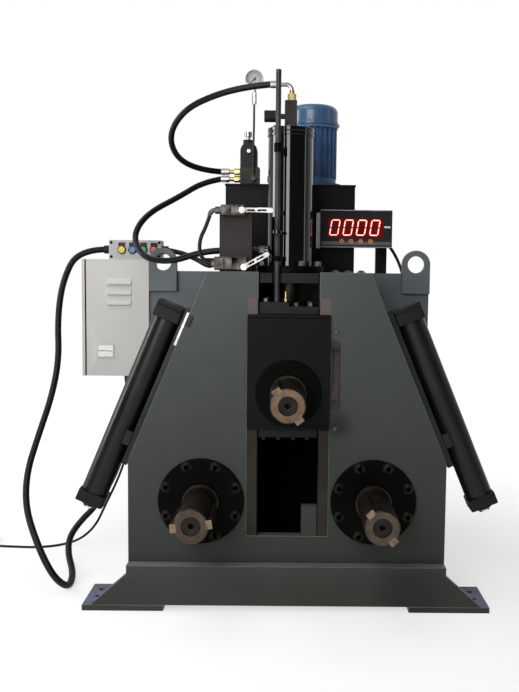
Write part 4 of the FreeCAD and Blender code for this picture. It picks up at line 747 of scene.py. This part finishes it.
supplyCord["route"] += coilPoints(coil, supplyCord["radius"])[1:] + coil["tail"]
hoseUpper, hoseUpperLine = layCord("hoseUpper", hoseUpperCord, hoseRubber, "hose_upper")
hoseLower, hoseLowerLine = layCord("hoseLower", hoseLowerCord, hoseRubber, "hose_lower")
displayLead, displayLine = layCord("displayLead", displayCord, blackPlastic, "display_cable")
switchLead, switchLine = layCord("switchLead", switchCord, blackPlastic, "switch_cable")
supplyLead, supplyLine = layCord("supplyLead", supplyCord, conduitBlack, "mains_cable", "mains_coil")
stationConduit, stationLine = layCord("stationConduit", stationCord, conduitBlack, "pendant_conduit")
topConduit, topLine = layCord("topConduit", topCord, conduitBlack, "top_conduit")
print("hoses and cables ready")


def cylinder(tree, vertices, radius, depth):
    # an upright cylinder about the origin
    return add(tree, "GeometryNodeMeshCylinder", {"Vertices": vertices, "Radius": radius, "Depth": depth})[0]


def lifted(tree, geometry, height):
    # the geometry moved up
    shift = add(tree, "ShaderNodeCombineXYZ", {"Z": height})[0]
    return add(tree, "GeometryNodeTransform", {"Geometry": geometry, "Translation": shift})[0]


def placed(tree, given, piece, turn):
    # the piece on each point of the geometry going in
    copies = add(tree, "GeometryNodeInstanceOnPoints", {"Points": given["Geometry"], "Instance": piece,
                                                        "Rotation": turn})[0]
    return endTree(tree, given, copies)


def screwTree(name, sides, socket):
    # one head on each point of the mesh: a chamfered round or six-sided head, with or without a socket
    tree, given = geometryTree(name, ("Head Radius", "Head Height", "Socket Radius", "Washer Radius",
                                      "Washer Height"))
    radius, height, washerHeight = given["Head Radius"], given["Head Height"], given["Washer Height"]
    half = calc(tree, "MULTIPLY", height, 0.5)
    head = cylinder(tree, sides, radius, height)
    cone = add(tree, "GeometryNodeMeshCone", {
        "Vertices": 24, "Radius Top": calc(tree, "MULTIPLY", radius, 0.86),
        "Radius Bottom": calc(tree, "MULTIPLY_ADD", height, 1.2, radius), "Depth": height})[0]
    dropped = lifted(tree, cone, calc(tree, "MULTIPLY", half, -1.0))
    cut = "GeometryNodeMeshBoolean"
    body = add(tree, cut, {"Mesh 2": [head, dropped]}, operation="INTERSECT")[0]
    if socket:
        well = lifted(tree, cylinder(tree, 6, given["Socket Radius"], height), half)
        body = add(tree, cut, {"Mesh 1": body, "Mesh 2": well}, operation="DIFFERENCE")[0]
    raised = lifted(tree, body, calc(tree, "ADD", half, washerHeight))
    washer = cylinder(tree, 24, given["Washer Radius"], washerHeight)
    under = lifted(tree, washer, calc(tree, "MULTIPLY", washerHeight, 0.5))
    screw = add(tree, "GeometryNodeJoinGeometry", {"Geometry": [raised, under]})[0]
    turn = add(tree, "FunctionNodeAlignRotationToVector", {"Vector": given["Direction"]}, axis="Z")[0]
    return placed(tree, given, screw, turn)


def tickTree():
    # dial marks: one thin bar for each step round the dial
    tree, given = geometryTree("dialTicks", ("Steps", "Tick Length", "Tick Width"))
    bar = {"X": given["Tick Width"], "Y": mm(0.4), "Z": given["Tick Length"]}
    block = add(tree, "GeometryNodeMeshCube", {"Size": add(tree, "ShaderNodeCombineXYZ", bar)[0]})[0]
    step = calc(tree, "DIVIDE", math.radians(270), given["Steps"])
    index = add(tree, "GeometryNodeInputIndex")[0]
    angle = calc(tree, "MULTIPLY_ADD", index, step, math.radians(-135))
    return placed(tree, given, block, add(tree, "ShaderNodeCombineXYZ", {"Y": angle})[0])


roundSocket = screwTree("socketScrews", 24, True)
sixSided = screwTree("hexagonScrews", 6, False)
roundPlain = screwTree("panHeadScrews", 18, False)


def screws(name, values, places):
    # a set of equal screws, standing on the given places (mm) and pointing along one direction
    mesh = bpy.data.meshes.new(name + "Places")
    mesh.from_pydata([mm(*place) for place in places], [], [])
    sizes = {"Head Radius": mm(values["radius"]), "Head Height": mm(values["height"]),
             "Socket Radius": mm(values.get("socket", 1) / math.sqrt(3)),
             "Washer Height": mm(values.get("washer", 0.4)),
             "Washer Radius": mm(values.get("washerRadius", values["radius"] * 0.98)),
             "Direction": values["direction"], "Material": values["material"]}
    heads = grown(name, mesh, values["tree"], sizes)
    return putPiece(name, heads, values["body"])


def circle(radius, count, first=0):
    # places round the origin of a plane, from an angle in degrees
    angles = [math.radians(first) + 2 * math.pi * step / count for step in range(count)]
    return [(radius * math.cos(angle), radius * math.sin(angle)) for angle in angles]


def ringPlaces(centre, radius, count, first, plane):
    # places round a centre, in the XZ plane or the XY plane
    x, y, z = centre
    ring = circle(radius, count, first)
    return [(x + u, y, z + v) if plane == "XZ" else (x + u, y + v, z) for u, v in ring]


def meshOf(name, work, materials):
    # a plain mesh from the faces drawn so far
    mesh = bpy.data.meshes.new(name)
    work.to_mesh(mesh)
    work.free()
    for material in materials:
        mesh.materials.append(material)
    return mesh


def merged(name, pieces, nodes, body):
    # joins plain meshes that lie on one body into one piece
    work = bmesh.new()
    materials = []
    for piece in pieces:
        start = len(work.faces)
        work.from_mesh(piece.data)
        work.faces.ensure_lookup_table()
        for face in work.faces[start:]:
            own = piece.data.materials[face.material_index]
            if own not in materials:
                materials.append(own)
            face.material_index = materials.index(own)
    for piece in pieces:
        bpy.data.objects.remove(piece)
    return putPiece(name, meshOf(name, work, materials), body, nodes)


def slab(work, corners, thickMm, index):
    # a thin plate: its outline (mm) pushed out to the front
    low = [work.verts.new(mm(*corner)) for corner in corners]
    push = mm(0, -thickMm, 0)
    high = [work.verts.new(vert.co + push) for vert in low]
    faces = [work.faces.new(low), work.faces.new(list(reversed(high)))]
    count = len(low)
    for i in range(count):
        faces.append(work.faces.new((low[i], high[i], high[(i + 1) % count], low[(i + 1) % count])))
    for face in faces:
        face.material_index = index
    bmesh.ops.recalc_face_normals(work, faces=faces)


# frame
def plinthPaint(centre, normal, number):
    # the tops of the feet take the paler bluish painted reflection
    return 1 if normal.z > 0.9 and centre.z < 25 else 0


dress("basePlinth", "base_plinth", [plinthEnamel, footSheenEnamel], 1.5, paint=plinthPaint, edge=edgeWornAndLit)
dress("frontPlate", "front_plate", [frameEnamel], 1.6, edge=edgeWornAndLit)
dress("rearPlate", "rear_plate", [rearLitEnamel], 2.0)


def wallChoice(low, high):
    # the thin gear guard and the guide cheeks are near black, painted shade; the stop block takes the front's
    # enamel, whose darker low tone paints its shade; the rest as the rear
    gearGuard = high.y - low.y < 10 and low.y > 230
    guideCheek = high.x - low.x < 30 and abs(low.x) < 200
    stopBlock = low.z > 240 and high.z < 360
    return 2 if stopBlock else 1 if gearGuard or guideCheek else 0


dress("frameWalls", "frame_walls", [rearLitEnamel, windowShadeBlack, frameEnamel], 1.0, wallChoice)


def railChoice(low, high):
    # the two tall rails, the shorter gib strip, and its screws
    tall = high.z - low.z
    return 0 if tall > 500 else 1 if tall > 100 else 2


dress("guideRails", "guide_rails", [railSteel, gibSteel, dullZinc], 0.8, railChoice)
dress("cylinderPlate", "cylinder_plate", [slideGrey], 1.5)
dress("bearingHousings", "bearing_housings", [blackOxide], 1.2)

# screws of the housings' flanges, the cylinder's foot, its cap and the deck
frameScrew = {"direction": (0, 0, 1), "tree": roundSocket, "material": dullZinc, "body": "frame",
              "slot": slotOf["frame_bolts"]}
flangeScrew = {**frameScrew, "radius": 9, "height": 7.6, "socket": 8, "direction": (0, -1, 0),
               "material": oxideScrew}
headScrew = {**frameScrew, "radius": 13.4, "height": 14, "washer": 3, "washerRadius": 14.5, "tree": sixSided}
capScrew = {**frameScrew, "radius": 6, "height": 7.6, "socket": 5}
deckScrew = {**frameScrew, "radius": 7, "height": 8, "socket": 6}
frameScrewSets = [
    screws("flangeScrews", flangeScrew, ringPlaces((-292, -87, 371), 127, 8, 22.5, "XZ")
           + ringPlaces((292, -87, 371), 127, 8, 22.5, "XZ")),
    screws("headScrews", headScrew, ringPlaces((0, 70, 1167), 103, 8, 22.5, "XY")),
    screws("capScrews", capScrew, ringPlaces((0, 70, 1635), 60, 6, 30, "XY")),
    screws("deckScrews", deckScrew, [(155, -15, 1146), (198, -15, 1146), (243, -15, 1146)])]
merged("frameScrews", frameScrewSets, ["frame_bolts"], "frame")
print("frame ready")

# slide and shafts
dress("slideFacePlate", "slide_face_plate", [slideBlack], 1.5)
dress("slideCover", "slide_bearing_cover", [blackOxide], 1.0)
dress("slideEndPlates", "slide_end_plates", [slideGrey], 1.5)


def boltChoice(low, high):
    # the grease nipple is brassy and taller than the screws; those underneath the slide are black
    return 1 if high.z - low.z > 30 else 2 if high.z < 700 else 0


dress("slideScrews", "slide_bolts", [dullZinc, zincYellow, oxideScrew], 0.5, boltChoice)


def shaftChoice(low, high):
    # the keys are the short solids
    return 1 if high.y - low.y < 200 else 0


def shaftPaint(centre, normal, number):
    # what faces forward: bright key ends, the turned face, and grease in the recess behind it
    if normal.y > -0.8:
        return 0
    if number == 1:
        return 1
    return 2 if centre.y < -379 else 3 if centre.y < -340 else 0


for side in ("left", "right", "top"):
    dress(
        side + "Shaft", side + "_shaft", [shaftSteel, keySteel, shaftFaces[side], recessGrease], 0.8,
        shaftChoice, shaftPaint)
print("slide and shafts ready")

# main cylinder
dress("cylinderBarrel", "cylinder_barrel", [glossBlack], 1.0)
dress(
    "cylinderHeads", "cylinder_heads", [blackOxide, glossBlack], 1.5,
    lambda low, high: 1 if low.z > 1500 else 0)


def fittingChoice(low, high):
    # at the top cap: block, nut, elbow; at the manifold the thin solids are nuts as well
    if low.z > 1600:
        return 1 if high.z < 1740 else 2 if low.z < 1740 else 0
    return 2 if high.x - low.x < 10 else 0


def fittingPaint(centre, normal, number):
    # the fitting behind the switches takes the darker zinc; swivel nuts next to the manifold are yellow
    if number == 0 and centre.z < 1300:
        return 3
    return 2 if number == 0 and centre.z < 1600 and -231 < centre.x < -190 else number


dress(
    "hoseFittings", "hose_fittings", [zincClear, valvePhosphate, zincYellow, dullZinc], 0.6, fittingChoice,
    fittingPaint)
dress("throttleKnob", "throttle_knob", [blackPlastic], 0.6)
dress(
    "tripRod", "trip_rod", [drawnBar, blackOxide], 0.8, lambda low, high: 0 if high.z - low.z > 300 else 1)
dress("switchColumn", "switch_column", [columnPaint], 1.5)
dress("limitSwitches", "limit_switches", [switchCasting], 1.0)
dress("upperLever", "upper_lever", [zincClear], 0.4)
dress("lowerLever", "lower_lever", [zincClear], 0.4)
print("main cylinder ready")

# hydraulic unit
dress("oilTank", "oil_tank", [tankBlack], 1.5)
dress("pumpMotor", "pump_motor", [motorBlue, cowlBlue], 0.8, lambda low, high: 1 if low.z > 1700 else 0)


def valveChoice(low, high):
    # the block, the domed relief valve on it, and its small plated parts
    return 0 if high.z < 1540 else 1 if high.x - low.x > 50 else 2


dress("valveManifold", "valve_manifold", [valvePhosphate, blackPlastic, zincClear], 1.0, valveChoice)


dialMarks = {"centre": (-140, 1866), "y": 364.6, "ring": 22.5, "steps": 24, "length": 5, "width": 1.1}


def gaugeChoice(low, high):
    # the thin glass is left out; the case is plated and the tube below it is drawn
    if high.y - low.y < 5:
        return None
    return 0 if high.z > 1800 else 1


def gaugePaint(centre, normal, number):
    # the dial lies in the middle of the case and faces forward
    x, z = dialMarks["centre"]
    onDial = math.hypot(centre.x - x, centre.z - z) < 20 and centre.y < 380 and normal.y < -0.9
    return 2 if number == 0 and onDial else number


dress("pressureGauge", "pressure_gauge", [zincClear, drawnBar, dialWhite], 0.6, gaugeChoice, gaugePaint)


def dialTicks(values):
    # marks round the dial, clockwise from lower left
    (x, z), ring, steps = values["centre"], values["ring"], values["steps"]
    angles = [math.radians(-135 + 270 * step / steps) for step in range(steps + 1)]
    mesh = bpy.data.meshes.new("tickPlaces")
    mesh.from_pydata([mm(x + ring * math.sin(angle), values["y"], z + ring * math.cos(angle))
                      for angle in angles], [], [])
    marks = grown("dialTicks", mesh, tickTree(), {
        "Steps": float(steps), "Tick Length": mm(values["length"]), "Tick Width": mm(values["width"]),
        "Material": dialInk})
    return putPiece("dialTicks", marks, "frame")


dialTicks(dialMarks)
print("hydraulic unit ready")

# display: its face lies 2 mm inside the rim; keys, digits and print stand on it, in millimetres
displayFace = {"y": 282, "window": (141, 347, 1276, 1345), "band": (117, 375, 1249, 1262),
               "dash": (350, 373, 1313, 1320), "topLine": (114, 378, 1376, 1378)}
digits = {"count": 4, "left": 147, "pitch": 49.6, "foot": 1286, "height": 55, "width": 30, "stroke": 6.0,
          "slant": 0.16, "gap": 0.8}
displayKeys = {"places": (193, 227, 263, 300), "height": 1263, "radius": 9, "sides": 24,
               "rings": ((1, 0.6, 5), (0.55, 0.8, 1), (0.38, 0.9, 5))}


def displayChoice(low, high):
    # the tall solid is the post; the narrow ones are the side trim
    return 2 if high.z - low.z > 145 else 1 if high.x - low.x < 20 else 0


def displayPaint(centre, normal, number):
    # the lower lip is trim too
    return 1 if number == 0 and centre.z < 1248 and centre.y < 290 else number


dress(
    "displayCase", "display_case", [displayAbs, trimAluminium, tankBlack], 0.8, displayChoice,
    displayPaint)


def facePlate(work, bounds, y, thick, index):
    # a thin rectangle on the face
    x0, x1, z0, z1 = bounds
    slab(work, [(x0, y, z0), (x1, y, z0), (x1, y, z1), (x0, y, z1)], thick, index)


def segment(work, start, end, width, y, thick, index):
    # a bar with pointed ends between two places of the face
    (x0, z0), (x1, z1) = start, end
    length = math.hypot(x1 - x0, z1 - z0)
    ux, uz = (x1 - x0) / length, (z1 - z0) / length
    half = width / 2
    outline = [(0, 0), (half, half), (length - half, half), (length, 0), (length - half, -half),
               (half, -half)]
    corners = [(x0 + u * ux - v * uz, y, z0 + u * uz + v * ux) for u, v in outline]
    slab(work, corners, thick, index)


def digitZero(work, values, left, y):
    # six strokes between the corners of a slanted zero, each with a brighter core on it
    corners = {}
    for column in (0, 1):
        for row in (0, 1, 2):
            rise = values["height"] * row / 2
            corners[column, row] = Vector((left + column * values["width"] + rise * values["slant"],
                                           values["foot"] + rise))
    strokes = [((0, 0), (1, 0)), ((0, 2), (1, 2)), ((0, 0), (0, 1)), ((0, 1), (0, 2)), ((1, 0), (1, 1)),
               ((1, 1), (1, 2))]
    for first, last in strokes:
        a, b = corners[first], corners[last]
        along = (b - a).normalized() * values["gap"]
        segment(work, a + along, b - along, values["stroke"], y - 0.6, 0.3, 2)
        segment(work, a + along * 2, b - along * 2, values["stroke"] * 0.5, y - 0.9, 0.2, 3)


def keyDiscs(work, values, x, y):
    # a round key as three discs on each other: rim, ring, middle
    for share, thick, index in values["rings"]:
        rim = circle(values["radius"] * share, values["sides"])
        slab(work, [(x + u, y, values["height"] + v) for u, v in rim], thick, index)


def displayDetail(values):
    # all that is printed, lit or set on the face, as one piece
    work = bmesh.new()
    y = values["y"]
    facePlate(work, values["window"], y, 0.6, 0)
    facePlate(work, values["band"], y, 0.4, 1)
    facePlate(work, values["dash"], y, 0.4, 4)
    facePlate(work, values["topLine"], y - 2, 0.3, 6)
    for number in range(digits["count"]):
        digitZero(work, digits, digits["left"] + number * digits["pitch"], y)
    for x in displayKeys["places"]:
        keyDiscs(work, displayKeys, x, y)
    finishes = [displayWindow, displayBand, digitGlow, digitCore, printWhite, keyFoil, trimAluminium]
    return putPiece("displayDetail", meshOf("displayDetail", work, finishes), "frame")


displayDetail(displayFace)
print("display ready")

# cabinet and button station
# folded sheet with its radii already in the solids; the thin solid of the shell is the seal
dress(
    "cabinetShell", "cabinet_shell", [cabinetCoat, sealRubber], 0.0,
    lambda low, high: 1 if high.x - low.x < 20 else 0, smoothUnder=8)
dress("cabinetDoor", "cabinet_door", [cabinetCoat], 0.0, smoothUnder=8)
latchSlot = {"height": 835, "half": 1.6, "front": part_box("door_latch")[0][1] * 1000}


def latchPaint(centre, normal, number):
    # the key slot's floor and sides are painted black: painted shade inside the slot
    inSlot = abs(centre.z - latchSlot["height"]) < latchSlot["half"] and abs(normal.x) < 0.5
    return 1 if inSlot and centre.y > latchSlot["front"] + 0.5 else 0


dress("doorLatch", "door_latch", [chrome, legendBlack], 0.3, paint=latchPaint)


def glandChoice(low, high):
    # those on the limit switches are metal
    return 1 if -240 > low.x > -285 and high.y < 0 else 0


dress("cableGlands", "cable_glands", [blackPlastic, dullZinc], 0.5, glandChoice)


def stationChoice(low, high):
    # the box, the legend plates set into its front, and the rings of the buttons
    return 0 if high.x - low.x > 100 else 1 if low.y > 411 else 2


dress("stationBox", "station_box", [stationPlastic, legendBlack, blackPlastic], 0.8, stationChoice)
lidScrew = {"radius": 3.6, "height": 1.6, "direction": (0, -1, 0), "tree": roundPlain, "material": oxideScrew,
            "body": "frame", "slot": slotOf["station_box"]}
screws("stationScrews", lidScrew, [(x, 414, z) for x in (-690, -505) for z in (1253, 1198)])
for key, cap in capPlastic.items():
    dress(key + "Button", key + "_button", [cap], 1.4)
print("cabinet ready")

# side actuators
dress(
    "sideCylinders", "side_cylinders", [actuatorBlack, actuatorHead], 2.0,
    lambda low, high: 0 if high.z - low.z > 400 else 1)


def sideRailChoice(low, high):
    # the saddles' clamping strips, just in front of the frame, are plated; their brightness is partly a
    # painted highlight of the slopes' lit edge
    tall = high.z - low.z
    return 1 if 60 < tall <= 300 and low.y > -73 and high.y < -55 else 0


dress("sideRails", "side_rails", [actuatorBlack, zincClear], 1.0, sideRailChoice)

# what lies inside or behind keeps its own mesh and gets its finish
# the piston rod takes the dark waxed shaft steel, not chrome: painted shade of the dark space round it
innerFinish = {"slide_block": slideBlack, "piston_rod": shaftSteel, "left_side_rod": chrome,
               "right_side_rod": chrome, "left_gear": castSteel, "right_gear": castSteel,
               "drive_pinion": gearSteel, "gear_reducer": motorBlue, "motor_fan": blackPlastic,
               "electrical_gear": innerPlastic, "gauge_needle": dialInk, "mains_plug": blackPlastic}
for node, finishMaterial in innerFinish.items():
    for place in frame["nodes"][node].material_slots:
        place.material = finishMaterial


def strainRelief(values):
    # ribbed rubber sleeve that tapers down the lead where it leaves its gland
    x, y, top = values["top"]
    rings, sides = values["rings"], values["sides"]
    work = bmesh.new()
    loops = []
    for step in range(rings + 1):
        share = step / rings
        radius = values["wide"] + (values["narrow"] - values["wide"]) * share - values["groove"] * (step % 2)
        z = top - values["length"] * share
        loops.append([work.verts.new(mm(x + u, y + v, z)) for u, v in circle(radius, sides)])
    for upper, lower in zip(loops, loops[1:]):
        for i in range(sides):
            work.faces.new((upper[i], upper[(i + 1) % sides], lower[(i + 1) % sides], lower[i]))
    work.faces.new(loops[0])
    work.faces.new(loops[-1])
    bmesh.ops.recalc_face_normals(work, faces=work.faces)
    mesh = meshOf("supplyRelief", work, [blackPlastic])
    return putPiece("supplyRelief", mesh, "frame")


supplyRelief = strainRelief({"top": (-660, 555, 706), "length": 42, "wide": 9.5, "narrow": 6.2, "rings": 16,
                             "groove": 0.7, "sides": 20})
print("inner parts ready")
